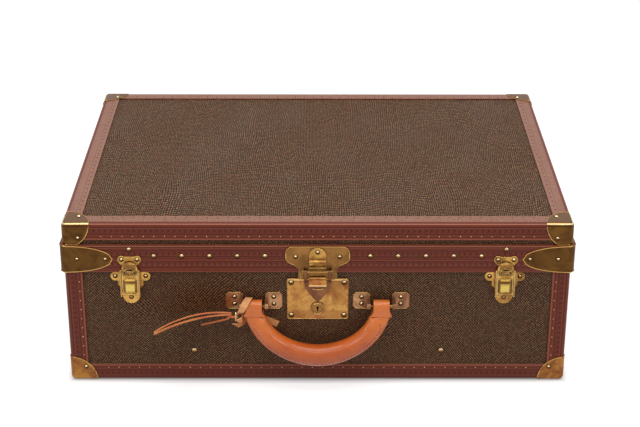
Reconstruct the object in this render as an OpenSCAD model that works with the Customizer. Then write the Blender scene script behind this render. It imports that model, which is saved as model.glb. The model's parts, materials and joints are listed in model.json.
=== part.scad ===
// Hard-sided suitcase lying flat: plywood shell under coated canvas, fibre edge trims,
// brass corners, lock, hasp and latches, leather handle and luggage tag.
// X runs along the width, the handle side faces -Y, Z is up.
// The origin is under the middle of the shell, on the floor that the bottom corner caps stand on.

/* [Case] */
// Width over the edge trims
case_w = 600; // [540:5:700]
// Depth over the edge trims
case_d = 440; // [360:5:520]
// Height over the edge trims with the lid shut
case_h = 210; // [200:2:240]
// Height of the lid from the base's rim to the top of its trims
lid_h = 50; // [46:1:60]
// Radius of the trimmed edges
edge_r = 5; // [4:0.5:6]
// Clearance between the rims of base and lid
lid_gap = 0.4; // [0.2:0.1:0.8]

/* [Layers] */
// Thickness of the plywood boards
board_t = 5; // [4:0.5:7]
// Thickness of the coated canvas
canvas_t = 0.8; // [0.5:0.1:1.2]
// Thickness of the cloth lining
lining_t = 0.8; // [0.5:0.1:1.5]
// Bevel along the edges of the canvas skin
canvas_bevel = 2; // [1.5:0.25:2.5]
// Thickness of the inner rim frame
tongue_t = 3; // [2:0.5:5]
// Height of the rim frame below the rim
tongue_below = 22; // [15:1:24]
// Height of the rim frame above the rim
tongue_above = 6; // [4:1:10]
// Clearance between the rim frame and the lid lining
tongue_gap = 0.6; // [0.4:0.1:1]

/* [Trim and nails] */
// Width of each leg of an edge trim
trim_w = 21.5; // [18:0.5:28]
// Thickness of an edge trim
trim_t = 1.5; // [1:0.25:2]
// Distance from a trim's inner edge to its row of nails
nail_inset = 4.5; // [3:0.5:7]
// Spacing of the nails
nail_pitch = 12.4; // [10:0.1:24]
// Diameter of a nail head
nail_d = 2.2; // [1.6:0.1:3]
// Height of a nail head
nail_h = 0.5; // [0.3:0.1:0.7]

/* [Corner caps] */
// Thickness of the brass caps
cap_t = 0.8; // [0.6:0.1:1.2]
// Reach of a corner cap's lobes from the corner
cap_reach = 32; // [24:1:34]
// Distance of a corner cap's rivets from the edges
cap_rivet_in = 18.6; // [14:0.2:20]

/* [Rivets] */
// Diameter of the shanks
shank_d = 2.4; // [1.6:0.2:3]
// Diameter of a small rivet head
small_head_d = 4.6; // [3.6:0.2:5.2]
// Diameter of a large rivet head
large_head_d = 5.8; // [4.6:0.2:7]
// Height of a rivet head
head_h = 1.6; // [1:0.2:2.4]
// Radial play of a shank in its hole
shank_play = 0.05; // [0.02:0.01:0.1]

/* [Lid band] */
// Thickness of the band round the lid
band_t = 4.5; // [3:0.5:6]
// Height of the band above the rim
band_above = 22.6; // [18:0.2:24]
// Depth of the band below the rim
band_below = 11.8; // [8:0.2:14]
// Clearance between the band and the base canvas
band_gap = 0.8; // [0.5:0.1:1.2]
// Radius of the band's upright corners
band_r = 6; // [4:0.5:8]
// Distance of the band rivets from the case's centre line to the first one
band_first = 62; // [56:1:80]
// Distance of the band rivets from a latch's middle to the nearest one
band_last = 29; // [26:1:40]
// Number of band rivets on each half of the front
band_count = 5; // [3:1:5]
// Height of the band rivets above the rim
band_rivet_up = 9; // [6:0.5:12]
// Length of a band end cap from the corner to its tip
end_cap_l = 61; // [45:1:64]
// Distance from the corner to the end cap's first rivet
end_cap_rivet = 19.6; // [12:0.2:22]

/* [Lock] */
// Gap between the lock plate and the handle brackets beside it
lock_clear = 5.8; // [4:0.2:8]
// Height of the lock plate
lock_h = 53.6; // [50:0.4:58]
// Thickness of the lock plate
lock_t = 1.5; // [1:0.25:2]
// Distance of the lock plate below the rim
lock_drop = 22; // [20:1:26]
// Distance of the lock plate's rivets from its edges
lock_rivet_in = 5; // [4:0.5:6]
// Height of the key plug above the lock plate's lower edge
plug_up = 14.3; // [12:0.1:16]
// Radius of the key plug
plug_r = 6.2; // [5:0.2:7]
// Width of the raised collar round the plug
collar_w = 1.4; // [1:0.1:2]
// Height of the collar on the plate
collar_h = 1.6; // [1:0.2:2.4]
// Depth of the lock case behind the plate
case_depth = 12; // [11:0.5:15]
// Wall of the lock case
case_wall = 1.2; // [1:0.1:1.6]
// Travel of the bolt
bolt_travel = 8; // [6:0.5:10]
// Radius of the bolt
bolt_r = 2; // [1.5:0.1:2.5]

/* [Hasp] */
// Thickness of the hasp plate
hasp_t = 1.5; // [1:0.25:2]
// Distance of the hasp plate's outer rivets from the centre line
hasp_rivet_x = 26; // [24:0.5:28]
// Half width of the hasp plate's wings
hasp_wing = 37.5; // [35:0.5:40]
// Half width of the hasp plate's neck
hasp_neck = 22.5; // [20:0.5:24]
// Distance of the hasp's hinge line below the rim
hasp_hinge_drop = 9; // [7:0.5:11]
// Radius of the hasp's hinge pin
hasp_pin_r = 1.3; // [1:0.1:1.6]
// Half width of the spring strap on the hasp plate
spring_half = 10; // [8:0.5:11]
// Half width of the hasp tongue
tongue_half = 16; // [14:0.5:18]
// Length of the hasp tongue below its hinge line
hasp_l = 43; // [38:1:46]

/* [Latches] */
// Distance of each latch's middle from the case's side
latch_in = 78; // [74:1:96]
// Thickness of the latch plates
latch_t = 1.5; // [1:0.25:2]
// Half width of the latch plate's body
latch_half = 15; // [13:0.5:17]
// Half width of the latch plate's foot
latch_foot = 10; // [8:0.5:11]
// Distance of the latch ears' rivets from the latch's middle
ear_x = 18; // [17:0.5:20]
// Distance of the latch ears below the rim
ear_drop = 18.5; // [17:0.5:22]
// Distance of the latch's foot rivet below the rim
foot_drop = 46.5; // [43:0.5:50]
// Distance of the hook's pin below the rim
hook_pin_drop = 38.5; // [36:0.5:40]
// Half width of the hook
hook_half = 9.6; // [8:0.2:10]
// Length of the hook above its pin
hook_l = 41; // [38:0.5:44]
// Distance of a keeper's rivets from its middle
keeper_x = 9.3; // [8:0.1:11]
// Height of a keeper's rivets above the rim
keeper_up = 5; // [4:0.5:7]

/* [Handle] */
// Half distance between the handle's ends
handle_half = 75.8; // [66:0.2:84]
// Distance of the handle's pivot line below the rim
handle_drop = 53.2; // [50:0.2:60]
// Distance of the pivot line out from the canvas
handle_out = 12.5; // [12:0.5:16]
// Outward lean of the hanging handle
handle_tilt = 8; // [4:1:14]
// Height of the grip's arch below the pivot line
grip_drop = 62.2; // [50:0.2:72]
// Radius of the grip
grip_r = 11.8; // [10:0.2:14]
// Radius of the grip's steel core
core_r = 4; // [3:0.5:5]
// Width of the handle's squared ends
end_w = 19; // [16:0.5:21]
// Half thickness of the handle's squared ends
end_r = 8; // [7:0.25:8.5]
// Height of the squared ends below the pivot line
end_h = 11; // [10:0.5:14]
// Radius of the handle's pins
pin_r = 2; // [1.5:0.1:2.5]
// Wall of the bushes in the handle's ends
bush_t = 1.2; // [0.8:0.1:1.6]
// Running clearance of pins in their bores
pin_play = 0.08; // [0.04:0.01:0.1]
// Width of a handle bracket
bracket_w = 20; // [18:0.5:22]
// Height of a handle bracket
bracket_h = 21.6; // [20:0.2:24]
// Thickness of a handle bracket
bracket_t = 1.5; // [1:0.25:2]
// Distance from the handle end's middle to a bracket's middle
bracket_off = 23.5; // [23:0.5:26]
// Spacing of a bracket's two rivets
bracket_rivets = 9.2; // [8:0.2:12]
// Width of a bracket's ear
ear_w = 4; // [3:0.5:5]

/* [Tag] */
// Length of the tag's leaves
tag_l = 91; // [70:1:110]
// Width of the tag's leaves
tag_w = 40; // [34:1:42]
// Thickness of a tag leaf
leaf_t = 2; // [1.5:0.1:2.6]
// Slope of the tag's leaves, front edge high
tag_tilt = 28; // [15:1:35]
// Width of the tag's strap
strap_w = 8; // [6:0.5:9]
// Thickness of the tag's strap
strap_t = 1.4; // [1:0.1:1.8]
// Length of the strap's free tail
tail_l = 32; // [20:1:60]

/* [Hinges and packing straps] */
// Distance of each hinge from the centre line
hinge_x = 180; // [120:1:210]
// Width of a hinge knuckle
knuckle_w = 14; // [10:1:20]
// Radius of a hinge knuckle
knuckle_r = 3.2; // [2.8:0.1:4]
// Radius of a hinge pin
hinge_pin_r = 1.5; // [1.2:0.1:1.8]
// Height of a hinge leaf
leaf_h = 17; // [14:1:18]
// Thickness of a hinge leaf
hinge_t = 1.2; // [1:0.1:1.6]
// Clearance of moving knuckles
knuckle_gap = 0.3; // [0.2:0.05:0.5]
// Distance of each packing strap from the centre line
pack_x = 149.5; // [100:0.5:200]
// Height of the packing straps' studs above the floor
stud_z = 40.4; // [34:0.2:60]
// Diameter of the studs' heads
stud_d = 7; // [6:0.2:9]
// Width of a packing strap
pack_w = 25; // [20:1:32]
// Thickness of a packing strap
pack_t = 2; // [1.5:0.1:3]

/* [Hidden] */
canvas_brown = "#4a3828";
fibre_red = "#74402f";
brass = "#a5803f";
bright_brass = "#d8c79a";
plywood = "#c9a877";
lining_tan = "#b89a6c";
handle_tan = "#cc6f34";
strap_tan = "#e0a070";
steel = "#9a9a9c";

// Outer half sizes: trims, canvas, boards, inside of the boards and inside of the lining
xo = case_w/2;
yo = case_d/2;
xs = xo - trim_t;
ys = yo - trim_t;
xb = xs - canvas_t;
yb = ys - canvas_t;
xi = xb - board_t;
yi = yb - board_t;
xl = xi - lining_t;
yl = yi - lining_t;
// Levels from the floor up
z_trim = cap_t;
z_skin = z_trim + trim_t;
z_board = z_skin + canvas_t;
z_floor = z_board + board_t;
z_rim = z_trim + case_h - lid_h;
z_lid = z_rim + lid_gap;
z_top = z_trim + case_h;
z_skin_top = z_top - trim_t;
z_board_top = z_skin_top - canvas_t;
z_roof = z_board_top - board_t;
board_bevel = canvas_bevel - canvas_t*(2 - sqrt(2));
// Swell of the canvas panels between the trims, and the cut that clears the corner caps' lobes
swell = 0.1;
panel_cut = 4;
// Number of facets in a quarter of an edge radius
quarter = 8;
// Outer planes of the band and its ends
xband = xs + band_t;
yband = ys + band_t;
z_band0 = z_rim - band_below;
z_band1 = z_rim + band_above;
band_mid = (z_band0 + z_band1)/2;
far = 1000;
// Radius of the holes that rivet shanks pass through
hole_r = shank_d/2 + shank_play;
// Lengths of the shanks from a head's underside to the inner face of the boards
grip_canvas = canvas_t + board_t;
// Latches stand at a fixed distance from the sides, with the band rivets spread between
latch_x = xo - latch_in;
band_pitch = (latch_x - band_last - band_first)/(band_count - 1);
// Lock: plate, case behind it, bolt and the staple that it passes through
lock_w = 2*(handle_half - bracket_off - bracket_w/2 - lock_clear);
z_lock1 = z_rim - lock_drop;
z_lock0 = z_lock1 - lock_h;
z_plug = z_lock0 + plug_up;
case_half = lock_w/2 - 9.5;
case_edge = 3;
case_z0 = z_plug - plug_r - case_edge;
case_z1 = z_lock1 - case_edge;
z_bolt = z_lock1 - 16;
y_bolt = -ys + 7;
bolt_l = 14;
bolt_gap = 0.4;
staple_half = 2.5;
staple_h = 9;
staple_gap = 1;
staple_wall = 0.8;
// Crank on the back of the plug; a quarter turn carries it, and the bolt, across
crank = bolt_travel/sqrt(2);
crank_r = 1.2;
crank_gap = 0.35;
arm_t = 2.4;
plug_back = y_bolt - arm_t/2 - 0.6;
// Hasp: hinge line in front of its plate, tongue lying against the lock plate
z_hasp = z_rim - hasp_hinge_drop;
hasp_face = -yband - hasp_t;
y_hasp = hasp_face - 4.2;
hasp_top = z_band1 - 0.6;
hasp_rivet_z = hasp_top - 13;
spring_t = 1.2;
spring_rivet_z = hasp_top - 6.5;
hasp_low = z_lock1 + 1.2;
hasp_knuckle = hasp_pin_r + 1.4;
// The staple is curved about the hasp's hinge line, so that it swings out through a short slot
staple_mid = norm([y_bolt - y_hasp, z_bolt - z_hasp]);
staple_in = staple_mid - staple_h/2;
staple_out = staple_mid + staple_h/2;
// Height of a point of the staple's curves, from its radius and its distance in front of the hinge
function curve_z(r, y) = z_hasp - sqrt(r*r - pow(y - y_hasp, 2));
hasp_lug_w = 1.8;
tongue_plate = 1.8;
side_gap = 0.4;
// Latches
z_ear = z_rim - ear_drop;
z_foot = z_rim - foot_drop;
z_hook = z_rim - hook_pin_drop;
hook_pin_r = 1.4;
hook_barrel = hook_pin_r + 1.3;
hook_t = 1.8;
hook_gap = 0.5;
keeper_t = 1.2;
y_hook = -yband - keeper_t - hook_gap - hook_t/2;
cheek_t = 1.4;
cheek_x = hook_half + side_gap;
latch_top = z_band0 - 1;
z_window = z_rim - 12.2;
window_r = 6.4;
nose_half = 4.6;
nose_h = 2.2;
// Handle
z_handle = z_rim - handle_drop;
y_handle = -ys - handle_out;
bore_r = pin_r + pin_play;
bush_r = bore_r + bush_t;
bracket_rise = 2.4;
ear_over = 0.5;
pin_half = bracket_off - bracket_w/2 + ear_w - ear_over;
grip_power = 1.93;
grip_lead = 6;
grip_belly = 1.4;
end_flare = 2.5;
core_gap = 0.02;
bracket_ear_r = pin_r + 1.8;
grip_shift = 0.6;
grip_rings = 26;
grip_sides = 20;
// Tag, measured from the middle of the handle's left end
tag_root = [-21, -11, -8.6];
root_r = 2.4;
root_half = 3;
root_gap = 0.35;
buckle_bar = 1.3;
// The strap's two ends pass through the buckle above and below the round root of the tag
strap_off = root_r + root_gap + strap_t/2;
buckle_h = 2*(strap_off + strap_t/2 + root_gap + buckle_bar);
buckle_w = strap_w + 2*(root_gap + buckle_bar);
// Hinges, and the slits between strips that meet
y_hinge = yband + knuckle_gap + knuckle_r;
z_hinge = z_rim + lid_gap/2;
leaf_rivet_in = 5;
strip_gap = 1;
slit = 0.1;

// Points of an arc about a centre, from one angle to another
function arc(c, r, a0, a1, n = quarter) =
    [for (i = [0:n]) [c[0] + r*cos(a0 + (a1 - a0)*i/n), c[1] + r*sin(a0 + (a1 - a0)*i/n)]];

// Rectangle with round corners, by half sizes
function round_rect(hx, hy, r, n = quarter) = concat(
    arc([hx - r, hy - r], r, 0, 90, n), arc([-hx + r, hy - r], r, 90, 180, n),
    arc([-hx + r, -hy + r], r, 180, 270, n), arc([hx - r, -hy + r], r, 270, 360, n));

// Rectangle with cut corners, by half sizes
function cut_rect(hx, hy, c) = [
    [hx, hy - c], [hx - c, hy], [c - hx, hy], [-hx, hy - c],
    [-hx, c - hy], [c - hx, -hy], [hx - c, -hy], [hx, c - hy]];

// Places an outline drawn in x and z on an upright plane, thickened towards the front
module on_front(y, t) {
    translate([0, y, 0]) rotate([90, 0, 0]) linear_extrude(t) children();
}

// Extrudes an outline drawn in y and z along x
module along_x(x0, x1) {
    translate([x0, 0, 0]) rotate([90, 0, 90]) linear_extrude(x1 - x0) children();
}

// Box from one corner to the other
module block(a, b) {
    translate(a) cube(b - a);
}

module mirror_copy(v) {
    children();
    mirror(v) children();
}

module four_corners() {
    mirror_copy([1, 0, 0]) mirror_copy([0, 1, 0]) children();
}

// Turns a shape that stands along +Z so that it points out of the front, back or right side
module face_front() {
    rotate([90, 0, 0]) children();
}
module face_right() {
    rotate([0, 90, 0]) children();
}

// Mirrors a shape of the base's bottom onto the lid's top
module lid_side() {
    translate([0, 0, z_trim + z_top]) mirror([0, 0, 1]) children();
}

// Box with all its edges bevelled
module bevel_box(hx, hy, z0, z1, c) {
    hz = (z1 - z0)/2;
    intersection() {
        translate([0, 0, z0]) linear_extrude(2*hz) polygon(cut_rect(hx, hy, c));
        translate([0, 0, z0 + hz]) along_x(-hx, hx) polygon(cut_rect(hy, hz, c));
        translate([0, hy, z0 + hz]) rotate([90, 0, 0]) linear_extrude(2*hy)
            polygon(cut_rect(hx, hz, c));
    }
}

// The whole closed case as a solid, at the canvas and at the boards
module skin_block() {
    bevel_box(xs, ys, z_skin, z_skin_top, canvas_bevel);
}
module board_block() {
    bevel_box(xb, yb, z_board, z_board_top, board_bevel);
}

// The canvas skin before its hollow is cut; its top and bottom panels swell out between the trims,
// which press on their edges
module skin_solid() {
    skin_block();
    translate([0, 0, z_skin - swell]) linear_extrude(z_skin_top - z_skin + 2*swell)
        polygon(cut_rect(xo - trim_w - slit, yo - trim_w - slit, panel_cut));
}

// Dome-headed rivet standing on z = 0, its shank reaching down by grip
module rivet(head_d, grip) {
    r = head_d/2;
    ball = (r*r + head_h*head_h)/(2*head_h);
    tip = asin(r/ball);
    rotate_extrude($fn = 24) polygon(concat(
        [[0, -grip], [shank_d/2, -grip], [shank_d/2, 0]],
        [for (i = [0:4]) [ball*sin(tip*(4 - i)/4), head_h - ball + ball*cos(tip*(4 - i)/4)]]));
}

// Hole for a rivet's shank, reaching well past both ends
module shank_hole(grip) {
    translate([0, 0, -grip - 1]) cylinder(r = hole_r, h = grip + 3, $fn = 24);
}

module nail() {
    cylinder(d = nail_d, h = nail_h, $fn = 16);
}

// Places of the rivets and studs in the base's front wall, on the canvas plane
module lock_rivet_places() {
    for (sx = [-1, 1], z = [z_lock0 + lock_rivet_in, z_lock1 - lock_rivet_in])
        translate([sx*(lock_w/2 - lock_rivet_in), -ys, z]) face_front() children();
}
module bracket_places() {
    for (side = [-1, 1], off = [-1, 1])
        translate([side*handle_half + off*bracket_off, -ys, z_handle + bracket_rise]) children();
}
module bracket_rivet_places() {
    bracket_places() for (s = [-1, 1])
        translate([0, 0, s*bracket_rivets/2]) face_front() children();
}
module latch_rivet_places() {
    mirror_copy([1, 0, 0]) {
        for (s = [-1, 1]) translate([latch_x + s*ear_x, -ys, z_ear]) face_front() children();
        translate([latch_x, -ys, z_foot]) face_front() children();
    }
}
module stud_places() {
    for (sx = [-1, 1]) translate([sx*pack_x, -ys, stud_z]) {
        face_front() children();
        translate([0, 2*ys, 0]) rotate([-90, 0, 0]) children();
    }
}

// Places of the rivets in the corner caps, on the trims' planes, heads outward
module cap_rivet_places() {
    four_corners() translate([xo, yo, z_trim]) {
        translate([-cap_rivet_in, -cap_rivet_in, 0]) rotate([180, 0, 0]) children();
        translate([0, -cap_rivet_in, cap_rivet_in]) face_right() children();
        translate([-cap_rivet_in, 0, cap_rivet_in]) rotate([-90, 0, 0]) children();
    }
}

// Places of the rivets in the band, on its outer plane
module band_rivet_places() {
    for (sx = [-1, 1], i = [0:band_count - 1])
        translate([sx*(band_first + i*band_pitch), -yband, z_rim + band_rivet_up])
            face_front() children();
    stud_up = band_above - 5;
    for (sx = [-1, 1]) translate([sx*latch_x, -yband, z_rim + stud_up]) face_front() children();
    side_count = floor((yband - end_cap_l - large_head_d)/band_pitch);
    for (sx = [0, 1], i = [-side_count:side_count])
        mirror([sx, 0, 0]) translate([xband, i*band_pitch, z_rim + band_rivet_up])
            face_right() children();
    back_count = floor((hinge_x - 1.5*knuckle_w - large_head_d)/band_pitch - 0.5);
    for (sx = [-1, 1], i = [0:back_count])
        translate([sx*(0.5 + i)*band_pitch, yband, z_rim + band_rivet_up])
            rotate([-90, 0, 0]) children();
}

// Places of the rivets in the band end caps, on the band's outer plane
module end_cap_rivet_places() {
    far_rivet = end_cap_l - 8.2;
    back_rivet_z = (z_lid + z_band1)/2;
    for (d = [end_cap_rivet, far_rivet]) {
        for (sx = [-1, 1]) translate([sx*(xband - d), -yband, band_mid]) face_front() children();
        four_corners() translate([xband, yband - d, band_mid]) face_right() children();
    }
    for (sx = [-1, 1]) translate([sx*(xband - end_cap_rivet), yband, back_rivet_z])
        rotate([-90, 0, 0]) children();
}

module hasp_rivet_places() {
    for (sx = [-1, 1]) translate([sx*hasp_rivet_x, -yband, hasp_rivet_z]) face_front() children();
}
module spring_rivet_place() {
    translate([0, -yband, spring_rivet_z]) face_front() children();
}
module keeper_rivet_places() {
    mirror_copy([1, 0, 0]) for (s = [-1, 1])
        translate([latch_x + s*keeper_x, -yband, z_rim + keeper_up]) face_front() children();
}

// Places of the hinge leaves' rivets, on the back strips' outer plane; side is -1 below, 1 above
module hinge_rivet_places(side) {
    for (sx = [-1, 1], dx = [-1, 1])
        translate([sx*hinge_x + dx*knuckle_w, yband, z_hinge + side*(leaf_h - leaf_rivet_in)])
            rotate([-90, 0, 0]) children();
}

// All shank holes of the base and of the lid, one set for every layer
module base_holes() {
    deep = trim_t + canvas_t + board_t + lining_t + pack_t;
    lock_rivet_places() shank_hole(grip_canvas);
    bracket_rivet_places() shank_hole(grip_canvas);
    latch_rivet_places() shank_hole(grip_canvas);
    stud_places() shank_hole(deep);
    cap_rivet_places() shank_hole(trim_t + grip_canvas);
    hinge_rivet_places(-1) shank_hole(band_t + grip_canvas);
}
module lid_holes() {
    lid_side() cap_rivet_places() shank_hole(trim_t + grip_canvas);
    band_rivet_places() shank_hole(band_t + grip_canvas);
    end_cap_rivet_places() shank_hole(band_t + grip_canvas);
    hasp_rivet_places() shank_hole(band_t + grip_canvas);
    spring_rivet_place() shank_hole(band_t + grip_canvas);
    keeper_rivet_places() shank_hole(band_t + grip_canvas);
    hinge_rivet_places(1) shank_hole(band_t + grip_canvas);
}

// Recess for the lock case through canvas, board and lining
module lock_mortise() {
    block([-case_half, -far, case_z0], [case_half, 0, case_z1]);
}

// Base shell

module base_floor_board() {
    color(plywood) difference() {
        intersection() {
            board_block();
            block([-far, -far, 0], [far, far, z_floor]);
        }
        base_holes();
    }
}

// Front and back boards run the full width; the side boards stand between them
module long_boards(z0, z1) {
    intersection() {
        board_block();
        mirror_copy([0, 1, 0]) block([-far, -far, z0], [far, -yi, z1]);
    }
}
module side_boards(z0, z1) {
    intersection() {
        board_block();
        mirror_copy([1, 0, 0]) block([-far, -yi, z0], [-xi, yi, z1]);
    }
}

module base_long_boards() {
    color(plywood) difference() {
        long_boards(z_floor, z_rim);
        base_holes();
        lock_mortise();
    }
}

module base_side_boards() {
    color(plywood) difference() {
        side_boards(z_floor, z_rim);
        base_holes();
    }
}

module base_canvas() {
    color(canvas_brown) difference() {
        intersection() {
            skin_solid();
            block([-far, -far, 0], [far, far, z_rim]);
        }
        board_block();
        base_holes();
        lock_mortise();
    }
}

module base_lining() {
    color(lining_tan) difference() {
        block([-xi, -yi, z_floor], [xi, yi, z_rim]);
        block([-xl, -yl, z_floor + lining_t], [xl, yl, z_rim + 1]);
        stud_places() shank_hole(trim_t + grip_canvas + lining_t);
        lock_mortise();
    }
}

// Wooden frame inside the rim, which the lid closes round
module rim_frame() {
    low = z_rim - tongue_below;
    high = z_rim + tongue_above;
    function strip(a) = [[a, low], [a, z_rim], [a - tongue_gap, z_rim], [a - tongue_gap, high],
        [a - tongue_t, high], [a - tongue_t, low]];
    side = yl - tongue_t - slit;
    color(plywood) {
        mirror_copy([0, 1, 0]) along_x(-xl + tongue_gap, xl - tongue_gap) polygon(strip(yl));
        mirror_copy([1, 0, 0]) rotate([0, 0, -90]) along_x(-side, side) polygon(strip(xl));
    }
}

// Edge trims

function trim_section() = concat(
    [for (i = [0:quarter]) [edge_r - edge_r*sin(90*i/quarter), edge_r - edge_r*cos(90*i/quarter)]],
    [[0, trim_w], [trim_t, trim_w], [trim_t, trim_t + canvas_bevel], [trim_t + canvas_bevel, trim_t],
        [trim_w, trim_t], [trim_w, 0]]);

// Everything beyond a plane that slopes alike against the three axes
module corner_cut() {
    rotate([0, acos(1/sqrt(3)), 45]) translate([-60, -60, 0]) cube([120, 120, 60]);
}

// Trim along x from x0 to x1 with its edge on the x axis; its ends are mitred under the caps
module edge_trim(x0, x1, mitre_end = true) {
    difference() {
        along_x(x0 + edge_r, x1 - (mitre_end ? edge_r : 0)) polygon(trim_section());
        translate([x0 + slit, 0, 0]) mirror([1, 0, 0]) corner_cut();
        if (mitre_end) translate([x1 - slit, 0, 0]) corner_cut();
    }
}

// Trims round the bottom edges
module ring_trims() {
    mirror_copy([0, 1, 0]) translate([0, -yo, z_trim]) edge_trim(-xo, xo);
    mirror_copy([1, 0, 0]) translate([xo, 0, z_trim]) rotate([0, 0, 90]) edge_trim(-yo, yo);
}

// Moves a trim from the x axis to the upright edge at the front left
module upright() {
    multmatrix([[0, 1, 0, -xo], [0, 0, 1, -yo], [1, 0, 0, 0], [0, 0, 0, 1]]) children();
}

module base_edge_trim() {
    color(fibre_red) difference() {
        union() {
            ring_trims();
            four_corners() upright() edge_trim(z_trim, z_band0 - strip_gap, false);
        }
        cap_rivet_places() shank_hole(trim_t + grip_canvas);
    }
}

module lid_edge_trim() {
    color(fibre_red) difference() {
        lid_side() ring_trims();
        lid_holes();
    }
}

// Rows of nails on the wall legs of a ring of trims, and on the flat legs when asked; the
// middle of each row falls halfway between two nails
module ring_nails(flat) {
    row = trim_w - nail_inset;
    nx = floor((xo - cap_reach - nail_d)/nail_pitch + 0.5);
    ny = floor((yo - cap_reach - nail_d)/nail_pitch + 0.5);
    for (i = [0.5 - nx:nx - 0.5]) mirror_copy([0, 1, 0]) translate([i*nail_pitch, -yo, z_trim]) {
        translate([0, 0, row]) face_front() nail();
        if (flat) translate([0, row, 0]) rotate([180, 0, 0]) nail();
    }
    for (i = [0.5 - ny:ny - 0.5]) mirror_copy([1, 0, 0]) translate([xo, i*nail_pitch, z_trim]) {
        translate([0, 0, row]) face_right() nail();
        if (flat) translate([-row, 0, 0]) rotate([180, 0, 0]) nail();
    }
}

module base_trim_nails() {
    row = trim_w - nail_inset;
    z0 = z_trim + cap_reach + nail_d;
    rows = floor((z_band0 - strip_gap - nail_d - z0)/nail_pitch);
    color(bright_brass) {
        ring_nails(false);
        for (i = [0:rows]) four_corners() translate([-xo, -yo, z0 + i*nail_pitch]) {
            translate([row, 0, 0]) face_front() nail();
            translate([0, row, 0]) rotate([0, -90, 0]) nail();
        }
    }
}

module lid_trim_nails() {
    color(bright_brass) lid_side() ring_nails(true);
}

// Brass corner caps

// Ball with its poles and equator on the facets
module ball(r) {
    rotate_extrude($fn = 4*quarter) polygon(concat(arc([0, 0], r, -90, 90, 2*quarter), [[0, r]]));
}

// Case-sized block with round edges and corners
module round_case(hx, hy, z0, z1, r) {
    hull() for (x = [r - hx, hx - r], y = [r - hy, hy - r], z = [z0 + r, z1 - r])
        translate([x, y, z]) ball(r);
}

module bottom_caps() {
    difference() {
        intersection() {
            round_case(xo + cap_t, yo + cap_t, 0, z_rim, edge_r + cap_t);
            four_corners() translate([xo, yo, z_trim]) sphere(r = cap_reach, $fn = 48);
        }
        round_case(xo, yo, z_trim, z_rim, edge_r);
        cap_rivet_places() shank_hole(trim_t + grip_canvas);
    }
}

module base_corner_caps() {
    color(brass) bottom_caps();
}

module lid_corner_caps() {
    color(brass) difference() {
        lid_side() bottom_caps();
        block([-far, -far, 0], [far, far, z_band1 + side_gap]);
    }
}

// Rivet heads sit on the caps
module cap_rivets() {
    cap_rivet_places() translate([0, 0, cap_t]) rivet(small_head_d, cap_t + trim_t + grip_canvas);
}

// Bottom rivets are countersunk flush, so that the caps carry the case
module base_cap_rivets() {
    color(bright_brass) difference() {
        cap_rivets();
        block([-far, -far, -far], [far, far, 0]);
    }
}

module lid_cap_rivets() {
    color(bright_brass) lid_side() cap_rivets();
}

// Base strip along the back, under the hinge leaves

module base_back_strip() {
    color(fibre_red) difference() {
        block([-xs + strip_gap, ys, z_band0], [xs - strip_gap, yband, z_rim]);
        hinge_rivet_places(-1) shank_hole(band_t + grip_canvas);
    }
}

// Lock

module lock_outline() {
    translate([0, (z_lock0 + z_lock1)/2]) polygon(round_rect(lock_w/2, lock_h/2, 3));
}

module lock_plate() {
    color(brass) difference() {
        union() {
            on_front(-ys, lock_t) lock_outline();
            translate([0, -ys, z_plug]) face_front()
                cylinder(r = plug_r + collar_w, h = lock_t + collar_h, $fn = 48);
        }
        lock_rivet_places() shank_hole(grip_canvas);
        translate([0, -ys, z_plug]) face_front() translate([0, 0, -1])
            cylinder(r = plug_r + pin_play, h = lock_t + collar_h + 2, $fn = 48);
        block([-staple_half - staple_gap, -far, curve_z(staple_out, -ys - lock_t) - staple_gap],
            [staple_half + staple_gap, 0, curve_z(staple_in, -ys) + staple_gap]);
    }
}

module lock_rivets() {
    color(bright_brass) lock_rivet_places() translate([0, 0, lock_t])
        rivet(large_head_d, lock_t + grip_canvas);
}

// Open-fronted box behind the plate, which holds plug and bolt
module lock_case() {
    y1 = -ys + case_depth;
    color(steel) difference() {
        block([-case_half, -ys, case_z0], [case_half, y1, case_z1]);
        block([-case_half + case_wall, -far, case_z0 + case_wall],
            [case_half - case_wall, y1 - case_wall, case_z1 - case_wall]);
    }
}

// Key plug with a keyhole in front and a crank pin behind
module lock_plug() {
    y_front = -ys - lock_t - collar_h + 0.4;
    key_r = 1.7;
    key_z = z_plug + 1.2;
    color(brass) difference() {
        union() {
            translate([0, plug_back, z_plug]) face_front()
                cylinder(r = plug_r, h = plug_back - y_front, $fn = 48);
            translate([-crank/sqrt(2), y_bolt + arm_t, z_plug + crank/sqrt(2)]) face_front()
                cylinder(r = crank_r, h = y_bolt + arm_t - plug_back + 1, $fn = 24);
        }
        translate([0, plug_back - 1, key_z]) face_front()
            cylinder(r = key_r, h = lock_t + collar_h + case_depth, $fn = 24);
        block([-0.8, -far, key_z - 5], [0.8, plug_back - 1, key_z]);
    }
}

// Sliding bolt with an arm whose slot rides on the plug's crank
module lock_bolt() {
    tip = -staple_half - 1.4;
    web = 4;
    slot_half = crank_r + crank_gap;
    low = crank/sqrt(2) - slot_half;
    high = crank + slot_half;
    rim = 1.3;
    reach = crank/sqrt(2) - slot_half - rim;
    color(steel) {
        translate([tip - bolt_l, y_bolt, z_bolt]) rotate([0, 90, 0])
            cylinder(r = bolt_r, h = bolt_l, $fn = 32);
        translate([0, y_bolt + arm_t/2, z_plug]) rotate([90, 0, 0]) linear_extrude(arm_t) difference() {
            union() {
                translate([tip - bolt_l, low - rim]) square([-reach - tip + bolt_l, high - low + 2*rim]);
                translate([tip - bolt_l, low - rim]) square([web, z_bolt - z_plug - low + rim + bolt_r + 1]);
            }
            translate([-crank/sqrt(2) - slot_half, low]) square([2*slot_half, high - low]);
        }
    }
}

// Hasp

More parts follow.
